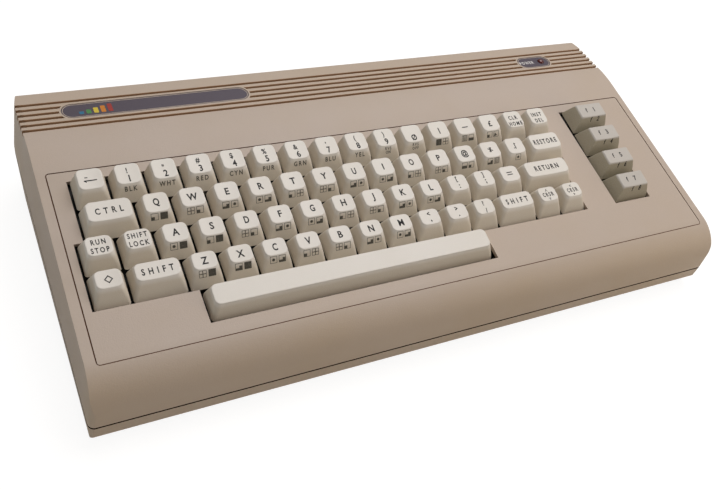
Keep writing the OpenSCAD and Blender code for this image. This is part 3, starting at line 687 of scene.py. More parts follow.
@dataclass(frozen=True)
class Badge:
    """A dark pill let into the grooved strip."""

    name: str
    x: float
    length: float
    y: float = 63.8
    height: float = 12.0

    def add(self, form: Form, *levels: Point, corner: int = 12, band: bool = False) -> Form:
        """Add the pill's outline to a form, grown through levels.

        Args:
            form: The form.
            *levels: Each level's extra size and its height above the case.
            corner: Vertices in each corner.
            band: Whether the last level joins the first, for an open ring.

        Returns:
            The form.
        """
        rings = [Ring(self.length + extra, self.height + extra, 9.0, CASE_TOP + z) for extra, z in levels]
        form.place(moved(self.x, self.y), (form.loop if band else form.stack)(rings, corner))
        return form

    def plate(self) -> Form:
        """The plate, its upper edge rounded."""
        return self.add(Form(), (0.0, -0.8), (0.0, -0.35), (-0.12, -0.24), (-0.4, -0.2))

    def border(self) -> None:
        """A thin pale line just inside the plate's edge."""
        levels = (-1.8, -0.3), (-1.1, -0.3), (-1.1, -0.14), (-1.8, -0.14)
        self.add(Form(), *levels, band=True).piece(self.name + "_border", RIM, "case", "badge")


NAME_BADGE = Badge("name_badge", -122.4, 109.0)
POWER_BADGE = Badge("power_badge", 149.5, 27.0)
LAMP_FRAME = moved(155.7, POWER_BADGE.y)


def lamp_hole(finish: Finish) -> Object:
    """The cutter of the lamp's hole."""
    form = Form()
    form.rod(2.6, 60.0, 75.0, LAMP_FRAME, 32)
    return form.object("lamp_hole", finish)


@dataclass
class Badges:
    """Both badges, a plain row of colour bars, the power word and the lamp."""

    bars: tuple[Triple, ...] = (
        srgb(58, 118, 150), srgb(84, 140, 84), srgb(214, 190, 70), srgb(206, 130, 52), srgb(160, 62, 58),
    )

    def build(self) -> None:
        """Make every piece of the badges."""
        plate = NAME_BADGE.plate().piece("name_plate", BADGE, "case", "badge")
        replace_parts(plate, "name_badge")
        NAME_BADGE.border()
        made = POWER_BADGE.plate().object("power_plate", BADGE)
        carve(made, lamp_hole(BADGE))
        finished(made, "case", "badge")
        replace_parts(made, "power_badge")
        POWER_BADGE.border()
        self.colour_bars()
        self.power_word()
        self.lamp()

    def colour_bars(self) -> None:
        """Upright bars that grow from left to right, near the badge's left end."""
        for index, colour in enumerate(self.bars):
            form = Form()
            height = 2.4 + index * 1.1
            form.stack([
                Ring(2.6, height, 0.5, 70.28), Ring(2.6, height, 0.5, 70.36), Ring(2.4, height - 0.2, 0.5, 70.4),
            ], 4)
            form.place(moved(NAME_BADGE.x - 44.0 + index * 4.0, NAME_BADGE.y - 3.4 + height / 2.0))
            finish = Ink(f"bar_enamel_{index + 1}", colour, dimmed(colour, 0.8))
            form.piece(f"colour_bar_{index + 1}", finish, "case", "badge")

    def power_word(self) -> None:
        """The word beside the lamp."""
        form = Form()
        form.add(LETTERS["POWER"], moved(POWER_BADGE.x - 6.4, POWER_BADGE.y, 70.3) @ Matrix.Diagonal((1.9, 2.8, 1, 1)))
        form.piece("power_word", WHITE_INK, "case", "badge", 60.0)

    def lamp(self) -> None:
        """The lamp: a domed lens with its flange under the badge."""
        form = Form()
        radius, rim, dome = 2.5, 70.0, 1.9
        line = [(0.0, 64.5), (3.1, 64.5), (3.1, 65.7), (radius, 65.7), (radius, rim)]
        line += [(radius * cos(radians(turn)), rim + dome * sin(radians(turn))) for turn in range(10, 90, 10)]
        form.lathe(line + [(0.0, rim + dome)], LAMP_FRAME, 40)
        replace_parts(form.piece("power_lamp", LAMP, "case", "lamp"), "power_led")


# ---------------------------------------------------------------- case


class Half(Enum):
    """Which half of the case."""

    TOP = 1.0
    BOTTOM = -1.0


@dataclass
class CaseShells:
    """The two halves of the case, with their openings, grooves and panel line."""

    width: float = 404.0
    wall: float = 2.5
    gap: float = 1.1
    draft: float = 4.7
    nose: float = 22.0
    edge: float = 3.4
    bottom_edge: float = 2.4
    rear: float = 104.0
    rear_corner: float = 34.0
    front: float = -104.0
    front_corner: float = 3.3
    groove_y: tuple[float, ...] = (72.4, 68.1, 63.8, 59.5, 55.2, 50.9)
    groove_width: float = 1.3
    groove_depth: float = 1.1
    lip: float = 0.6
    key_outlines: tuple[tuple[Point, ...], ...] = (
        (
            (-0.7, 7.8), (-0.7, -30.4), (-5.5, -30.4), (-5.5, -69.4), (46.9, -69.4), (46.9, -88.5), (220.0, -88.5),
            (220.0, -69.4), (299.8, -69.4), (299.8, -30.9), (304.7, -30.9), (304.7, 7.8),
        ),
        ((323.2, 7.8), (323.2, -69.4), (352.7, -69.4), (352.7, 7.8)),
    )
    keyboard_screws: tuple[Point, ...] = (
        (14, 12), (152, 12), (290, 12), (338, 12), (314.3, -20), (314.3, -60), (20, -77), (152, -92.3), (250, -77),
        (338, -77),
    )
    board_screws: tuple[Point, ...] = ((-182, -54), (-26, -59), (176, -62), (-182, 62), (-26, 62), (182, 86))
    case_screws: tuple[float, ...] = (-160.0, 0.0, 160.0)

    def outline(self, form: Form) -> Face:
        """Draw the case's side outline at X = 0 and return its face."""
        start = tip = form.vert(0.0, -98.0, 3.0)

        def line(*points: Point) -> None:
            """Draw straight stretches through points of (Y, Z)."""
            nonlocal tip
            for point in points:
                tip = bmesh.ops.extrude_vert_indiv(form.bm, verts=[tip])["verts"][0]
                tip.co = (0.0, *point)

        def arc(y: float, z: float, turn: float, steps: int) -> None:
            """Draw an arc round a centre, clockwise as seen from the left side, through an angle in degrees."""
            nonlocal tip
            spun = bmesh.ops.spin(
                form.bm, geom=[tip], cent=(0, y, z), axis=(1, 0, 0), angle=radians(-turn), steps=steps
            )
            tip = next(item for item in spun["geom_last"] if isinstance(item, Vert))

        strip_y, shoulder_y, shoulder, slope = 47.0, 82.5, 3.0, tan(radians(DECK_SLOPE))
        nose_y = self.front + self.nose
        nose_z = DECK_TOP + slope * (nose_y - DECK_REAR) - self.nose / cos(radians(DECK_SLOPE))
        line((-103.4, 9.0), (self.front, 17.5), (self.front, nose_z))
        arc(nose_y, nose_z, 90.0 - DECK_SLOPE, 24)
        meet = DECK_REAR + (CASE_TOP - DECK_TOP) / slope
        crown = (strip_y - meet) / tan(radians(DECK_SLOPE / 2.0))
        line((strip_y - crown * sin(radians(DECK_SLOPE)), CASE_TOP - crown * (1.0 - cos(radians(DECK_SLOPE)))))
        arc(strip_y, CASE_TOP - crown, DECK_SLOPE, 8)
        lean = atan2(CASE_TOP - 43.5, 15.0)
        line((shoulder_y - shoulder * tan(lean / 2.0), CASE_TOP))
        arc(shoulder_y - shoulder * tan(lean / 2.0), CASE_TOP - shoulder, degrees(lean), 6)
        line((97.5, 43.5), (self.rear, 33.0), (self.rear, 7.0), (100.0, 3.0))
        form.bm.edges.new((tip, start))
        bmesh.ops.remove_doubles(form.bm, verts=form.bm.verts[:], dist=0.001)
        return bmesh.ops.contextual_create(form.bm, geom=form.bm.edges[:])["faces"][0]

    def solid(self, half: Half, inset: float, level: float) -> Form:
        """One half as a closed form.

        Args:
            half: Top or bottom.
            inset: How far it is pulled in all round.
            level: Distance of its cut from the seam, in the half's own direction.

        Returns:
            The form, with edges still sharp.
        """
        form = Form()
        face = self.outline(form)
        if inset > 0:
            ring = bmesh.ops.inset_region(
                form.bm, faces=[face], thickness=inset, use_even_offset=True, use_boundary=True
            )["faces"]
            bmesh.ops.delete(form.bm, geom=ring, context="FACES")
        bmesh.ops.translate(form.bm, verts=form.bm.verts[:], vec=(-self.width, 0, 0))
        bmesh.ops.translate(form.bm, verts=form.grow(face).verts[:], vec=(2.0 * self.width, 0, 0))
        bmesh.ops.recalc_face_normals(form.bm, faces=form.bm.faces[:])
        up = SEAM_FRAME.to_3x3() @ Vector((0, 0, half.value))
        start = SEAM_FRAME.translation
        form.bisect(start + up * level, -up)
        for side in (-1.0, 1.0):
            foot = start + Vector((side * (self.width / 2.0 - inset), 0, 0))
            form.bisect(foot, Vector((side, 0, 0)) + up * tan(radians(self.draft)))
        for step in range(10):
            form.divide(self.rear - self.rear_corner + (self.rear_corner - inset) * sin(radians(9.0 * step)))
        for step in range(6):
            form.divide(self.front + self.front_corner - (self.front_corner - inset) * sin(radians(15.0 * step)))
        return form

    def turn_corners(self, form: Form, inset: float) -> Form:
        """Bend the ends of a form's side walls inwards, round the corners."""
        for vert in form.bm.verts:
            rear = vert.co.y - self.rear + self.rear_corner, self.rear_corner - inset
            front = self.front + self.front_corner - vert.co.y, self.front_corner - inset
            along, radius = max(rear, front)
            if along > 0.0:
                reach = radius - sqrt(max(0.0, radius * radius - along * along))
                vert.co.x -= copysign(reach, vert.co.x)
        return form

    def shell(self, half: Half) -> Object:
        """One half as a hollow shell with rounded outer edges, its seam faces painted near-black as shade in the gap,
        in millimetres.
        """
        form = self.solid(half, 0.0, self.gap / 2.0)
        down = SEAM_FRAME.to_3x3() @ Vector((0, 0, -half.value))

        def border(inside: Callable[[Face], bool]) -> list[Edge]:
            """The edges round all faces of a kind."""
            return [edge for edge in form.bm.edges if [inside(face) for face in edge.link_faces].count(True) == 1]

        def at_seam(face: Face | bpy.types.MeshPolygon) -> bool:
            """Whether a face lies in the seam."""
            return face.normal.dot(down) > 0.999

        rim = set(border(at_seam))
        sides = [edge for edge in border(lambda face: abs(face.normal.x) > 0.9) if edge not in rim]
        form.round(sides, self.edge if half is Half.TOP else self.bottom_edge, 5)
        form.round(border(at_seam), 0.25, 2)
        made = self.turn_corners(form, 0.0).object(half.name.lower() + "_shell", CASE)
        made.data.materials.append(SEAM_SHADE.material())
        # painted shade: the seam faces take the near-black colour
        for face in made.data.polygons:
            face.material_index = int(at_seam(face))
        carve(made, self.turn_corners(self.solid(half, self.wall, -6.0), self.wall).object("hollow", CASE))
        return made

    def grooves(self) -> Object:
        """The cutter of the grooves, with rounded lips and bent ends, which stops short of the badges."""
        form = Form()
        half, lip, length, bend = self.groove_width / 2.0, 0.4, 2.0 * self.width, 1.2
        side = [
            (half * 0.8, -self.groove_depth), (half, -lip), (half + lip * 0.3, -lip * 0.3), (half + lip, 0.02),
            (half + lip, 2.0),
        ]
        outline = side + [(-y, z) for y, z in reversed(side)]
        for groove in self.groove_y:
            verts = [form.vert(-length / 2.0, groove + y, CASE_TOP + z) for y, z in outline]
            face = bmesh.ops.contextual_create(form.bm, geom=verts)["faces"][0]
            bmesh.ops.translate(form.bm, verts=form.grow(face).verts[:], vec=(length, 0, 0))
        start = self.width / 2.0 - 3.0 - self.edge
        for step in range(9):
            form.divide(start + step, 0)
            form.divide(-start - step, 0)
        for vert in form.bm.verts:
            along = abs(vert.co.x) - start
            if along > 0.0:
                turn, reach = min(bend, along / self.edge), vert.co.z - CASE_TOP + self.edge
                vert.co.z = CASE_TOP - self.edge + reach * cos(turn)
                vert.co.x = copysign(start + reach * sin(turn) + max(0.0, along - bend * self.edge), vert.co.x)
        # the grooves' faces take the dark colour: dirt and painted shade
        made = form.object("grooves", GROOVE_DIRT_AND_SHADE)
        keep = Form()
        for badge in (NAME_BADGE, POWER_BADGE):
            badge.add(keep, (2.4, -4.0), (2.4, -0.3), (2.1, 0.0), (2.1, 4.5))
        carve(made, keep.object("badge_seats", GROOVE_DIRT_AND_SHADE))
        return made

    def badge_recess(self) -> Object:
        """The cutter of both badges' recesses."""
        form = Form()
        for badge in (NAME_BADGE, POWER_BADGE):
            badge.add(form, (0.2, -0.8), (0.2, 0.1), (0.5, 0.26), (0.5, 2.5), corner=10)
        return form.object("badge_recess", RIM)

    def panel_line(self) -> Object:
        """The cutter of the line round the deck."""
        form = Form()
        levels = (
            (1.1, 2.0, 3.0), (1.1, 2.0, 0.02), (0.9, 1.9, -0.15), (0.9, 1.9, -0.55), (0.0, 1.4, -0.55),
            (0.0, 1.4, -0.15), (-0.2, 1.3, 0.02), (-0.2, 1.3, 3.0),
        )
        form.loop([Ring(388.1 + out, 110.8 + out, radius, z, -55.8) for out, radius, z in levels], 8)
        form.place(DECK_FRAME)
        # the line's faces take the dark colour: dirt and painted shade
        return form.object("panel_line", LINE_DIRT_AND_SHADE)

    def key_openings(self) -> Object:
        """The cutter of both key openings, with a rounded lip on the deck."""
        form = Form()
        to_deck = DECK_FRAME.inverted() @ KEY_FRAME
        down = (to_deck.to_3x3() @ Vector((0, 0, 1))).normalized()
        for outline in self.key_outlines:
            on_deck: list[Point] = []
            for (u0, v0), (u, v), (u1, v1) in zip(outline[-1:] + outline, outline, outline[1:] + outline[:1]):
                first, second = Vector((u - u0, v - v0)).normalized(), Vector((u1 - u, v1 - v)).normalized()
                out = Vector((first.y, -first.x)) + Vector((second.y, -second.x))
                point = to_deck @ Vector((u + out.x * self.lip, v + out.y * self.lip, 0.0))
                point -= down * (point.z / down.z)
                on_deck.append((point.x, point.y))
            form.prism(on_deck, -18.0, 6.0, self.lip)
        form.place(DECK_FRAME)
        return form.object("key_openings", CASE)

    def side_windows(self) -> Object:
        """The cutter of the openings in the right wall."""
        form = Form()
        for y, half, low, high in ((-38.0, 16.2, 13.4, 27.8), (-1.0, 16.2, 13.4, 27.8), (34.0, 9.3, 16.2, 29.8)):
            form.block((150.0, y - half, low), (230.0, y + half, high))
        form.round(form.sharp(), 0.8, 3)
        form.rod(9.0, 150.0, 230.0, moved(0, 60.0, 23.6) @ turned(90.0, "Y"), 40)
        return form.object("side_windows", CASE)

    def rear_windows(self) -> Object:
        """The cutter of the openings in the rear wall."""
        form = Form()
        for x, width, low, high in (
            (115.0, 76.0, 13.6, 33.0), (-125.0, 63.0, 6.2, 20.5), (-52.0, 37.0, 6.2, 20.5), (49.0, 13.0, 16.0, 31.0),
            (66.0, 11.0, 19.0, 28.0),
        ):
            form.block((x - width / 2.0, 92.0, low), (x + width / 2.0, 112.0, high))
        form.round(form.sharp(), 0.8, 3)
        for x in (21.0, -7.0):
            form.rod(9.0, 92.0, 114.0, moved(x, 0, 23.6) @ turned(-90.0, "X"), 40)
        return form.object("rear_windows", CASE)

    def underside(self) -> Object:
        """The cutter of the floor's vents, screw wells and foot recesses."""
        form = Form()
        for column in range(-14, 15):
            for y in (-22.0, 34.0):
                form.place(moved(column * 9.0, y), form.stack([Ring(3.0, 36.0, 1.4, z) for z in (1.0, 8.0)], 4))
        for x in self.case_screws:
            form.rod(3.6, 0.0, 6.5, moved(x, -95.0))
        for x in (-170.0, 170.0):
            for y in (-80.0, 80.0):
                form.rod(8.2, 0.0, 3.5, moved(x, y), 40)
        return form.object("underside", CASE)

    def build(self) -> None:
        """Make both shells, with the posts inside them."""
        top = self.shell(Half.TOP)
        carve(top, self.key_openings(), self.panel_line(), self.grooves(), self.badge_recess(), lamp_hole(CASE))
        carve(top, self.side_windows())
        bottom = self.shell(Half.BOTTOM)
        carve(bottom, self.side_windows(), self.rear_windows(), self.underside())
        for node, made in (("top_case", top), ("bottom_case", bottom)):
            made.name = node + "_shell"
            finished(made, "case", "case", 32.0)
            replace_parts(made, node)
        self.posts()

    def posts(self) -> None:
        """Screw posts that hang from the deck or stand on the floor, with their holes."""
        form = Form()
        deck = DECK_FRAME.inverted()
        for u, v in self.keyboard_screws:
            frame = KEY_FRAME @ moved(u, v, -15.0)
            length = (-1.4 - (deck @ frame.translation).z) / (deck.to_3x3() @ KEY_UP).z - (2.2 if v < -85 else 0.0)
            form.lathe([(0, 3.5), (1.1, 3.5), (1.1, 0), (3.4, 0), (3.4, length), (0, length)], frame, 20)
        form.piece("keyboard_posts", CASE, "case", "case")
        form = Form()
        for x in self.case_screws:
            form.lathe([(1.7, 0), (4.5, 0), (4.5, 2.4), (1.7, 2.4), (1.7, 0)], moved(x, -95.0, 6.5), 20)
        for x, y in self.board_screws:
            form.lathe([(0, 1.0), (1.3, 1.0), (1.3, 7.4), (4.0, 7.4), (4.0, 0), (0, 0)], moved(x, y, 4.5), 20)
        form.piece("board_posts", CASE, "case", "case")


# ---------------------------------------------------------------- lettering


LETTERS: dict[str, Mesh] = {}
Bar = tuple[float, float, float, float]
SIGN_BARS: dict[str, tuple[tuple[float, float, float, float, float], ...]] = {
    "+": ((0, -2.2, -0.34, 2.2, 0.34), (90, -2.2, -0.34, 2.2, 0.34)),
    "-": ((0, -2.1, -0.34, 2.1, 0.34),),
    "=": ((0, -2.0, 0.5, 2.0, 1.1), (0, -2.0, -1.1, 2.0, -0.5)),
    "*": ((30, -1.9, -0.3, 1.9, 0.3), (90, -1.9, -0.3, 1.9, 0.3), (150, -1.9, -0.3, 1.9, 0.3)),
    "←": ((0, -3.2, -0.32, 3.2, 0.32), (38, -2.62, 1.72, -1.1, 2.22), (-38, -2.62, -2.22, -1.1, -1.72)),
    "↑": ((90, -2.3, -0.3, 2.2, 0.3), (45, 0.5, 1.3, 1.65, 1.8), (135, 0.5, -1.8, 1.65, -1.3)),
}


def write(words: Iterable[str]) -> None:
    """Make the meshes of words and signs: thin and centred. Words have a letter height of 1, and ~ spaces them out."""
    texts: dict[str, Object] = {}
    for word in sorted(set(words) - set(SIGN_BARS)):
        curve = bpy.data.curves.new("word", "FONT")
        curve.body = word.strip("~")
        curve.size = 1.0 / 0.69
        curve.extrude = 0.02
        curve.resolution_u = 3
        curve.space_character = 1.95 if word.endswith("~") else 1.45 if len(curve.body) > 2 else 1.15
        curve.offset = 0.036
        texts[word] = bpy.data.objects.new("word", curve)
        bpy.context.collection.objects.link(texts[word])
    graph = bpy.context.evaluated_depsgraph_get()
    for word, text in texts.items():
        mesh = LETTERS[word] = bpy.data.meshes.new_from_object(text.evaluated_get(graph))
        across, up = ([vert.co[axis] for vert in mesh.vertices] for axis in (0, 1))
        mesh.transform(moved(-(min(across) + max(across)) / 2.0, -(min(up) + max(up)) / 2.0))
        bpy.data.objects.remove(text)
    for sign, bars in SIGN_BARS.items():
        form = Form()
        for index, (turn, left, low, right, high) in enumerate(bars):
            old = set(form.bm.verts)
            form_bar(form, (left, low, right, high), 0, 1.0, 5, 0.02 + 0.004 * index)
            form.place(turned(turn, "Z"), form.since(old))
        LETTERS[sign] = form.mesh("sign")


def form_bar(form: Form, bar: Bar, axis: int, least: float, cuts: int, thick: float = 0.03) -> None:
    """Add a flat patch whose long edges are divided, so that it can bend.

    Args:
        form: The form that gets it.
        bar: Its left, low, right and high ends.
        axis: The axis along which its edges are divided.
        least: Only edges longer than this are.
        cuts: How often.
        thick: Its thickness.
    """
    left, low, right, high = bar
    verts = form.block((left, low, 0.0), (right, high, thick))
    edges = {edge for vert in verts for edge in vert.link_edges}
    long = [edge for edge in edges if abs(edge.verts[0].co[axis] - edge.verts[1].co[axis]) > least]
    bmesh.ops.subdivide_edges(form.bm, edges=long, cuts=cuts)


class Motif(Enum):
    """What fills a small box on a key's front."""

    CORNER = auto()
    HALF = auto()
    DIAGONAL = auto()
    BARS = auto()
    CROSS = auto()
    DOT = auto()
    FULL = auto()
    STEP = auto()


OPEN_MOTIFS = Motif.CORNER, Motif.CROSS, Motif.STEP, Motif.DOT
BOX, INNER = 1.95, 1.72
BOX_BARS: tuple[Bar, ...] = (
    (-BOX, -BOX, BOX, -INNER), (-BOX, INNER, BOX, BOX), (-BOX, -INNER, -INNER, INNER), (INNER, -INNER, BOX, INNER),
)
MOTIF_BARS: dict[Motif, tuple[Bar, ...]] = {
    Motif.CORNER: ((-INNER, -INNER, 0.0, 0.0),),
    Motif.HALF: ((-INNER, -INNER, INNER, -0.1),),
    Motif.FULL: ((-INNER, -INNER, INNER, INNER),),
    Motif.BARS: tuple((x - 0.22, -INNER, x + 0.22, INNER) for x in (-1.0, 0.0, 1.0)),
    Motif.CROSS: ((-0.2, -INNER, 0.2, INNER), (-INNER, -0.2, -0.2, 0.2), (0.2, -0.2, INNER, 0.2)),
    Motif.STEP: ((-INNER, -INNER, INNER, -0.6), (0.2, -0.6, INNER, 0.6)),
}


@cache
def motif_box(motif: Motif | None) -> Mesh:
    """A small box with one of the motifs in it, or else a plain diamond ring, lying flat."""
    form = Form()
    if motif is None:
        for angle in range(0, 360, 90):
            form.place(turned(45.0, "Z") @ turned(angle, "Z"), form.block((-1.5, 1.05, 0.0), (1.5, 1.55, 0.03)))
        return form.mesh("sign")
    for bar in BOX_BARS + MOTIF_BARS.get(motif, ()):
        form_bar(form, bar, 1, 1.5, 3)
    if motif is Motif.DOT:
        form.rod(0.85, 0.0, 0.03, WORLD, 12)
    elif motif is Motif.DIAGONAL:
        form.rod(1.5, 0.0, 0.03, moved(-0.55, -0.55) @ turned(-105.0, "Z"), 3)
    return form.mesh("motif")


# ---------------------------------------------------------------- keys


@dataclass(frozen=True)
class Legend:
    """A word or sign on a key.

    Attributes:
        text: The word or sign.
        u: Its middle, to the right of the key's middle.
        v: Its middle, behind the key's middle, or down the front face from its upper edge.
        height: Letter height.
        squeeze: Letter width over letter height.
        front: Whether it stands on the front face.
    """

    text: str
    u: float = 0.0
    v: float = 0.0
    height: float = 3.9
    squeeze: float = 0.85
    front: bool = False


@dataclass(frozen=True)
class Key:
    """A key: its row, left edge and width in key widths, and its legends."""

    row: int
    left: float
    width: float = 1.0
    legends: tuple[Legend, ...] = ()
    motifs: tuple[Motif, ...] = ()

    @property
    def frame(self) -> Matrix:
        """The key's own frame."""
        return KEY_FRAME @ moved((self.left + self.width / 2.0) * PITCH, -self.row * PITCH)

    @property
    def skirt(self) -> float:
        """Width of the cap's skirt."""
        return self.width * PITCH - CAP_GAP


@dataclass(frozen=True)
class CapShape:
    """The form of a key cap, in its own frame with its top at 0."""

    side: float = 2.6
    bulge: float = 0.42
    base_radius: float = 1.3
    top_radius: float = 3.0
    front: float = 0.0
    rear: float = 0.0
    dish: float = 0.35
    wall: float = 1.3
    edge: float = 0.55
    height: float = 9.3
    lean: float = 0.0

    def level(self, width: float, z: float) -> Ring:
        """The cap's outer form at a height below its top edge's rounding."""
        depth = self.height - 0.25
        t = -z - 0.25
        share = min(1.0, max(0.0, t / depth))
        out = self.bulge * t + (self.side / depth - self.bulge) * t * t / depth
        front = 5.7 + 0.6814 * t - 0.00692 * t * t + self.front * (1.0 - share)
        rear = 5.5 + 1.2 * t / depth + self.rear * (1.0 - share)
        radius = self.top_radius + (self.base_radius - self.top_radius) * share ** 0.8
        return Ring(width - 2.0 * self.side + 2.0 * out, front + rear, radius, z, (rear - front) / 2.0)

    def aside(self, z: float) -> float:
        """How far the cap's middle lies to the right at a height."""
        return self.lean * (z + self.height) / self.height

    def sag(self, width: float, u: float) -> float:
        """How far the dished top lies below its rim."""
        half = width / 2.0 - self.side - 0.3
        return self.dish * max(0.0, 1.0 - (u / half) ** 2)

    def front_line(self) -> list[Point]:
        """The middle of the front face as (v, w) points from its upper edge down."""
        rings = [self.level(18.0, z) for z in (-self.edge, -0.55, -1.5, -3.0, -5.0, -7.0, -9.3)]
        (v, _), *face = [(ring.y - ring.depth / 2.0, ring.z) for ring in rings]
        return [(v + 0.6, 0.0), (v + 0.15, -0.15), *face]

    @cache
    def mesh(self, width: float) -> Mesh:
        """A hollow cap with its boss, spring seat and plunger, in its own frame.

        Args:
            width: Width of the skirt.

        Returns:
            The mesh, in millimetres.
        """
        form = Form()
        base = self.level(width, -self.height)
        shoulder = self.level(width, -self.edge)
        rings = [
            self.level(width, -2.6).shrunk(self.wall, -2.05), self.level(width, -3.2).shrunk(self.wall, -3.2),
            base.shrunk(self.wall, -self.height), base.shrunk(0.25, -self.height),
        ]
        rings += [self.level(width, z) for z in (-self.height + 0.25, -7.2, -5.2, -3.4, -2.0, -1.1, -self.edge)]
        rings += [shoulder.shrunk(by, z) for by, z in ((0.06, -0.30), (0.2, -0.11), (0.42, -0.01), (0.75, 0.0))]
        top = rings[-1]
        rings += [
            Ring(top.width * share, top.depth * share, top.radius * share, 0.0, top.y) for share in (0.8, 0.6, 0.4, 0.2)
        ]
        for vert in form.stack(rings, 6, 6):
            fade = min(1.0, max(0.0, (vert.co.z + self.edge) / self.edge))
            vert.co.z -= self.sag(width, vert.co.x) * fade
            vert.co.x += self.aside(vert.co.z)
        for line in (
            [(0, -2.5), (1.53, -2.5), (1.53, -6.6), (3.4, -6.6), (3.4, -3.4), (4.4, -3.4), (4.4, -2.0), (0, -2.0)],
            [(0, -18.7), (2.1, -18.7), (2.5, -18.3), (2.5, -6.65), (1.5, -6.65), (1.5, -2.6), (0, -2.6)],
        ):
            form.lathe(line, moved(0, -0.9), 24)
        return form.mesh("cap")

    def on_front(self, x: float, along: float, out: float) -> Vector:
        """A point on the front face.

        Args:
            x: To the right of the key's middle.
            along: Distance down the face.
            out: Distance off the face.

        Returns:
            The point in the key's own frame.
        """
        line = self.front_line()
        left = max(0.0, along)
        for (v0, w0), (v1, w1) in zip(line, line[1:]):
            length = hypot(v1 - v0, w1 - w0)
            if left <= length or (v1, w1) == line[-1]:
                break
            left -= length
        share = left / length
        normal = Vector((w1 - w0, v0 - v1)).normalized()
        place = Vector((x, v0 + (v1 - v0) * share + normal.x * out, w0 + (w1 - w0) * share + normal.y * out))
        place.x += self.aside(place.z)
        return place


ROW_SHAPES = tuple(
    CapShape(front=front, rear=rear) for front, rear in ((-1.0, 2.0), (-0.6, 0.8), (-0.8, 0.2), (-1.6, 0.0))
)
SPACE_SHAPE = CapShape(side=2.7, base_radius=3.0, top_radius=3.0, dish=0.0, edge=0.8)
FUNCTION_SHAPE = CapShape(
    side=3.35, bulge=0.541, base_radius=0.7, top_radius=0.8, front=-0.3, rear=-0.6, dish=0.2, edge=0.3, lean=2.55
)


def letter(text: str, row: int, left: float, number: int) -> Key:
    """A letter key with two boxes on its front."""
    motifs = OPEN_MOTIFS[number % 4], Motif.FULL if text in "QASZX" else OPEN_MOTIFS[(number * 3 + 1) % 4]
    return Key(row, left, 1.0, (Legend(text, 0.0, 0.4, 4.0, 0.7 if text in "CDGOQU" else 0.85),), motifs)


def lone(text: str, row: int, left: float, v: float, *motifs: Motif, size: Point = (1.0, 1.0)) -> Key:
    """A key with one sign, of a height and a squeeze."""
    return Key(row, left, 1.0, (Legend(text, 0.0, v, *size),), motifs)


def signs(upper: str, lower: str, row: int, left: float) -> Key:
    """A key with one sign above another."""
    size = 2.9 if lower == "/" else 3.6
    return Key(row, left, 1.0, (Legend(upper, 0.0, 2.6, 2.9), Legend(lower, 0.2, -2.3, size)))


def digit(lower: str, upper: str, front: str, left: float) -> Key:
    """A number key with its sign above, and one or two short words on its front."""
    legends = [Legend(lower, 0.2, -1.7, 3.9, 0.8)]
    if upper:
        legends.append(Legend(upper, -0.2, 3.2, 3.2, 0.8))
    words = front.split()
    for index, word in enumerate(words):
        size = 2.6 if len(words) == 1 else 1.7
        legends.append(Legend(word, 0.0, 3.6 + (index - (len(words) - 1) / 2.0) * 2.3, size, 0.8, True))
    return Key(0, left, 1.0, tuple(legends))


def worded(row: int, left: float, width: float, *words: str, squeeze: float = 0.74) -> Key:
    """A key with one or two words."""
    if len(words) == 1:
        return Key(row, left, width, (Legend(words[0], 0.0, 0.3, 3.4, squeeze),))
    legends = (Legend(word, 0.0, (0.5 - index) * 4.7, 2.8, 0.72) for index, word in enumerate(words))
    return Key(row, left, width, tuple(legends))


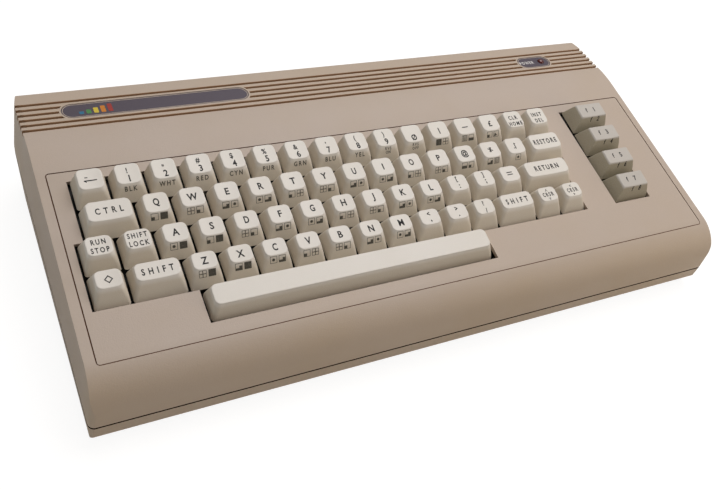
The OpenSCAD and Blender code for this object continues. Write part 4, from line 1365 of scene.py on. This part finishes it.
@dataclass
class Keyboard:
    """All keys with their legends and springs."""

    digits: tuple[tuple[str, str, str], ...] = (
        ("1", "!", "BLK"), ("2", '"', "WHT"), ("3", "#", "RED"), ("4", "$", "CYN"), ("5", "%", "PUR"),
        ("6", "&", "GRN"), ("7", "'", "BLU"), ("8", "(", "YEL"), ("9", ")", "RVS ON"), ("Ø", "", "RVS OFF"),
    )
    lift: float = 0.03
    spring_foot: Triple = (0, -0.9, -14.95)

    def banks(self) -> dict[str, list[Key]]:
        """The keys of each body."""
        number = [lone("←", 0, 0, 0.2)]
        number += [digit(*entry, index + 1.0) for index, entry in enumerate(self.digits)]
        number += [
            lone("+", 0, 11, 0.4, Motif.FULL, Motif.CROSS), lone("-", 0, 12, 0.4, Motif.BARS, Motif.HALF),
            lone("£", 0, 13, 0.4, Motif.CORNER, Motif.DIAGONAL, size=(4.0, 0.85)),
        ]
        upper = [letter(text, 1, 1.5 + index, index) for index, text in enumerate("QWERTYUIOP")]
        upper += [
            lone("@", 1, 11.5, 0.3, Motif.HALF, Motif.CORNER, size=(3.9, 0.85)),
            lone("*", 1, 12.5, 0.3, Motif.STEP, Motif.BARS), lone("↑", 1, 13.5, 0.3, Motif.DOT),
        ]
        home = [letter(text, 2, 1.75 + index, index + 11) for index, text in enumerate("ASDFGHJKL")]
        home += [signs("[", ":", 2, 10.75), signs("]", ";", 2, 11.75), lone("=", 2, 12.75, 0.4)]
        lower = [letter(text, 3, 2.25 + index, index + 21) for index, text in enumerate("ZXCVBNM")]
        lower += [signs("<", ",", 3, 9.25), signs(">", ".", 3, 10.25), signs("?", "/", 3, 11.25)]
        alone = {
            "home_key": worded(0, 14, 1, "CLR", "HOME"), "delete_key": worded(0, 15, 1, "INST", "DEL"),
            "control_key": worded(1, 0, 1.5, "CTRL~"), "restore_key": worded(1, 14.5, 1.5, "RESTORE", squeeze=0.68),
            "run_stop_key": worded(2, -0.25, 1, "RUN", "STOP"), "shift_lock_key": worded(2, 0.75, 1, "SHIFT", "LOCK"),
            "return_key": worded(2, 13.75, 2, "RETURN", squeeze=0.78), "command_key": Key(3, -0.25),
            "left_shift_key": worded(3, 0.75, 1.5, "SHIFT~"), "right_shift_key": worded(3, 12.25, 1.5, "SHIFT~"),
            "space_bar": Key(4, 2.5, 9.0),
        }
        for way, left, behind, before in (("down", 13.75, "∧", "∨"), ("right", 14.75, "<", ">")):
            alone[f"cursor_{way}_key"] = Key(3, left, 1.0, (
                Legend(behind, 0.0, 3.3, 1.9), Legend("CRSR", 0.0, 0.2, 2.7, 0.68), Legend(before, 0.0, -2.9, 1.9),
            ))
        for row in range(4):
            first = 2 * row + 1
            alone[f"function_key_{first}"] = Key(row, 17, 1.5, (
                Legend(f"f {first}~", -0.8, 0.0, 3.3), Legend(f"f {first + 1}~", 1.2, 2.7, 3.1, 0.85, True),
            ))
        rows = {"number_row_keys": number, "upper_row_keys": upper, "home_row_keys": home, "lower_row_keys": lower}
        return rows | {name: [key] for name, key in alone.items()}

    def build(self) -> None:
        """Make the caps, legends and springs of every body."""
        banks = self.banks()
        write({legend.text for keys in banks.values() for key in keys for legend in key.legends} | {"POWER"})
        for body, keys in banks.items():
            self.caps(body, keys)
            self.legends(body, keys)
            self.springs(body, keys)

    def shape(self, body: str, key: Key) -> CapShape:
        """The cap shape of one of a body's keys."""
        if body == "space_bar":
            return SPACE_SHAPE
        return FUNCTION_SHAPE if body.startswith("function") else ROW_SHAPES[key.row]

    def caps(self, body: str, keys: list[Key]) -> None:
        """The caps and plungers of one body."""
        form = Form()
        for key in keys:
            form.add(self.shape(body, key).mesh(key.skirt), key.frame)
            if body == "space_bar":
                self.lugs(form, key)
        finish, slot = (FUNCTION_CAP, "function_cap") if body.startswith("function") else (CAP, "key_cap")
        made = form.piece(body + "_caps", finish, body, slot, 40.0)
        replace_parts(made, body)

    def lugs(self, form: Form, bar: Key) -> None:
        """The space bar's two lugs, each with its slot for the stabilizer's arm."""
        y = -6.1 + 8.797
        for x in (-73.4, 73.4):
            for front, rear, low, high in (
                (-3, -1.6, -10.2, -1.5), (1.6, 3, -10.2, -1.5), (-1.6, 1.6, -7.65, -1.5), (-1.6, 1.6, -10.2, -9.35),
            ):
                form.place(bar.frame, form.block((x - 1, y + front, low), (x + 1, y + rear, high)))

    def conform(self, mesh: Mesh, legend: Legend, shape: CapShape, key: Key) -> Mesh:
        """Lay a flat mesh on a key's top or front."""
        made = mesh.copy()
        for vert in made.vertices:
            x = vert.co.x * legend.height * legend.squeeze + legend.u
            y = vert.co.y * legend.height
            z = vert.co.z + self.lift
            if legend.front:
                vert.co = shape.on_front(x, legend.v - y, z)
            else:
                vert.co = (x + shape.aside(0.0), y + legend.v, z - shape.sag(key.skirt, x))
        made.transform(key.frame)
        return made

    def legends(self, body: str, keys: list[Key]) -> None:
        """The legends of one body, on the tops and on the fronts."""
        tops, fronts = Form(), Form()
        function = body.startswith("function")
        for key in keys:
            flat = [(LETTERS[legend.text], legend) for legend in key.legends]
            for index, motif in enumerate(key.motifs):
                u = (index - (len(key.motifs) - 1) / 2.0) * 4.9
                flat.append((motif_box(motif), Legend("", u, 3.3, 1.0, 1.0, True)))
            if body == "command_key":
                flat.append((motif_box(None), Legend("", 0.0, 0.3, 1.0, 1.0)))
            for mesh, legend in flat:
                placed = self.conform(mesh, legend, self.shape(body, key), key)
                (fronts if legend.front and not function else tops).add(placed)
                bpy.data.meshes.remove(placed)
        slot = "function_cap" if function else "key_cap"
        if tops.bm.verts:
            tops.piece(body + "_legends", TOP_INK, body, slot, 60.0)
        if fronts.bm.verts:
            fronts.piece(body + "_front_legends", FRONT_INK, body, slot, 60.0)

    def springs(self, body: str, keys: list[Key]) -> None:
        """The return springs of one body's keys."""
        form = Form()
        for key in keys:
            form.add(coil(), key.frame @ moved(*self.spring_foot))
        made = form.piece(body + "_springs", SPRING, "case", "spring_wire", 60.0)
        body + "_press"
        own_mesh(made)
        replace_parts(made, "key_springs")


@cache
def coil() -> Mesh:
    """One coil spring on its own foot."""
    form = Form()
    turns, steps, wire, radius, height = 5.5, 72, 0.32, 3.95, 11.45
    matrix = moved(radius, 0, wire) @ turned(90.0, "X")
    verts = bmesh.ops.create_circle(form.bm, cap_ends=True, segments=6, radius=wire, matrix=matrix)["verts"]
    bmesh.ops.spin(
        form.bm, geom=verts + list(verts[0].link_faces) + form.bm.edges[:], cent=(0, 0, 0), axis=(0, 0, 1),
        angle=tau * turns, steps=steps, dvec=(0, 0, (height - 2.0 * wire) / steps),
    )
    return form.mesh("coil")


# ---------------------------------------------------------------- sockets, boards and small parts


@dataclass(frozen=True)
class Refined:
    """A node's own mesh with its edges rounded, dressed in one finish."""

    node: str
    finish: Finish
    slot: str
    body: str = "case"
    width: float = 0.2

    def build(self, source: Object) -> None:
        """Copy the node's mesh, merge it, and round its edges."""
        form = Form()
        form.add(source.data, Matrix.Scale(1000.0, 4) @ source.matrix_world)
        bmesh.ops.remove_doubles(form.bm, verts=form.bm.verts[:], dist=0.002)
        bmesh.ops.dissolve_limit(form.bm, angle_limit=radians(1.0), verts=form.bm.verts[:], edges=form.bm.edges[:])
        made = form.object(self.node + "_dressed", self.finish)
        bevel = made.modifiers.new("rounded_edges", "BEVEL")
        bevel.width = self.width * MM
        bevel.segments = 2
        bevel.limit_method = "ANGLE"
        bevel.angle_limit = radians(50.0)
        finished(made, self.body, self.slot)
        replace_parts(made, self.node)


@dataclass
class Fittings:
    """Everything the frame already shapes well: boards, sockets, wires, feet and screws."""

    nodes: dict[str, Object]
    refined: tuple[Refined, ...] = (
        Refined("av_socket", SOCKET, "socket_metal"),
        Refined("serial_socket", SOCKET, "socket_metal"),
        Refined("power_socket", BLACK, "black_plastic"),
        Refined("joystick_ports", BLACK, "black_plastic"),
        Refined("power_switch_housing", BLACK, "black_plastic"),
        Refined("power_switch_rocker", BLACK, "black_plastic", "power_rocker", 0.4),
        Refined("channel_switch", TIN, "tin_plate"),
        Refined("channel_slider", BLACK, "black_plastic", "channel_slider"),
        Refined("cartridge_connector", BLACK, "black_plastic"),
        Refined("rf_modulator", TIN, "tin_plate"),
        Refined("rf_jack", SOCKET, "socket_metal"),
        Refined("heat_sink", TIN, "heat_sink"),
        Refined("rubber_feet", RUBBER, "rubber_foot", "case", 0.6),
    )
    plain: tuple[tuple[str, Finish], ...] = (
        ("keyboard_frame", FRAME_BLACK), ("keyboard_board", CONTACT_BOARD), ("main_board", BOARD),
        ("space_bar_stabilizer", SPRING), ("keyboard_ribbon", RIBBON), ("led_cable", LEAD), ("logic_chips", CHIP),
        ("memory_chips", CHIP), ("capacitors", SLEEVE), ("fuse", SOCKET), ("video_shield_box", TIN),
        ("board_shield", TIN), ("case_screws", SOCKET), ("board_screws", SOCKET), ("keyboard_screws", SOCKET),
    )

    def build(self) -> None:
        """Dress every carried-over node."""
        for part in self.refined:
            part.build(self.nodes[part.node])
        for node, finish in self.plain:
            item = self.nodes[node]
            if not item.material_slots:
                item.data.materials.append(finish.material())
            for held in item.material_slots:
                held.material = finish.material()
            LOG.info("node %s: %s", node, finish.name)


# ---------------------------------------------------------------- studio


@dataclass(frozen=True)
class Light:
    """A square soft light, aimed at a height over the origin."""

    name: str
    at: Triple
    aim: float
    size: float
    power: float
    colour: Triple

    def build(self) -> None:
        """Make the light."""
        data = bpy.data.lights.new(self.name, "AREA")
        data.color = self.colour
        data.size = self.size
        data.energy = self.power
        made = bpy.data.objects.new(self.name, data)
        bpy.context.collection.objects.link(made)
        direction = Vector((0.0, 0.0, self.aim)) - Vector(self.at)
        made.matrix_world = Matrix.Translation(self.at) @ direction.to_track_quat("-Z", "Y").to_matrix().to_4x4()


@dataclass
class Studio:
    """Camera, soft lights, pale floor and white surroundings."""

    camera_at: Triple = (-0.243594, -0.317708, 0.378610)
    right: Triple = (0.88420, -0.41937, 0.20569)
    up: Triple = (0.17834, 0.71010, 0.68114)
    lens: float = 41.924
    sky: float = 0.22
    lights: tuple[Light, ...] = (
        Light("key_light", (0.40, 0.30, 1.35), 0.0, 1.2, 14.6, (1.0, 0.99, 0.98)),
        Light("front_light", (0.75, -0.6, 0.35), 0.02, 0.5, 1.8, (1.0, 0.88, 0.74)),
        Light("left_light", (-1.5, 0.1, 0.15), 0.03, 0.28, 1.4, (0.79, 0.96, 1.0)),
    )

    def build(self) -> None:
        """Make the whole studio."""
        self.camera()
        self.floor()
        self.world()
        for light in self.lights:
            light.build()
        bpy.context.scene.view_settings.view_transform = "Standard"

    def camera(self) -> None:
        """The camera, squared up from its right and up directions."""
        data = bpy.data.cameras.new("camera")
        data.lens = self.lens
        data.sensor_width = 36.0
        data.sensor_fit = "HORIZONTAL"
        data.clip_start = 0.01
        made = bpy.data.objects.new("camera", data)
        bpy.context.collection.objects.link(made)
        right = Vector(self.right).normalized()
        back = right.cross(Vector(self.up)).normalized()
        turn = Matrix((right, back.cross(right), back)).transposed().to_4x4()
        made.matrix_world = Matrix.Translation(self.camera_at) @ turn
        bpy.context.scene.camera = made

    def floor(self) -> None:
        """A pale floor that the camera sees as white and that keeps the object's shadow."""
        form = Form()
        bmesh.ops.create_grid(form.bm, x_segments=1, y_segments=1, size=3000.0)
        made = form.object("floor", PAPER)
        made.data.transform(Matrix.Scale(MM, 4))

    def world(self) -> None:
        """Even warm light all round, seen as white by the camera and through clear pieces."""
        world = bpy.context.scene.world = bpy.data.worlds.new("surroundings")
        world.use_nodes = True
        graph = Graph(world.node_tree)
        seen, through = (graph.node("LightPath", {}, f"Is {kind} Ray") for kind in ("Camera", "Transmission"))
        soft = graph.node("Background", {0: (1.0, 0.93, 0.84), 1: self.sky})
        white = graph.node("Background", {0: (1.0, 1.0, 1.0)})
        graph.node("OutputWorld", {0: graph.node("MixShader", {0: seen.most(through), 1: soft, 2: white})})


def main() -> None:
    """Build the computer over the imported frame."""
    logging.basicConfig(level=logging.INFO, format="%(message)s")
    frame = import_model()
    Studio().build()
    Keyboard().build()
    CaseShells().build()
    Badges().build()
    Fittings(frame["nodes"]).build()


if __name__ == "__main__":
    main()
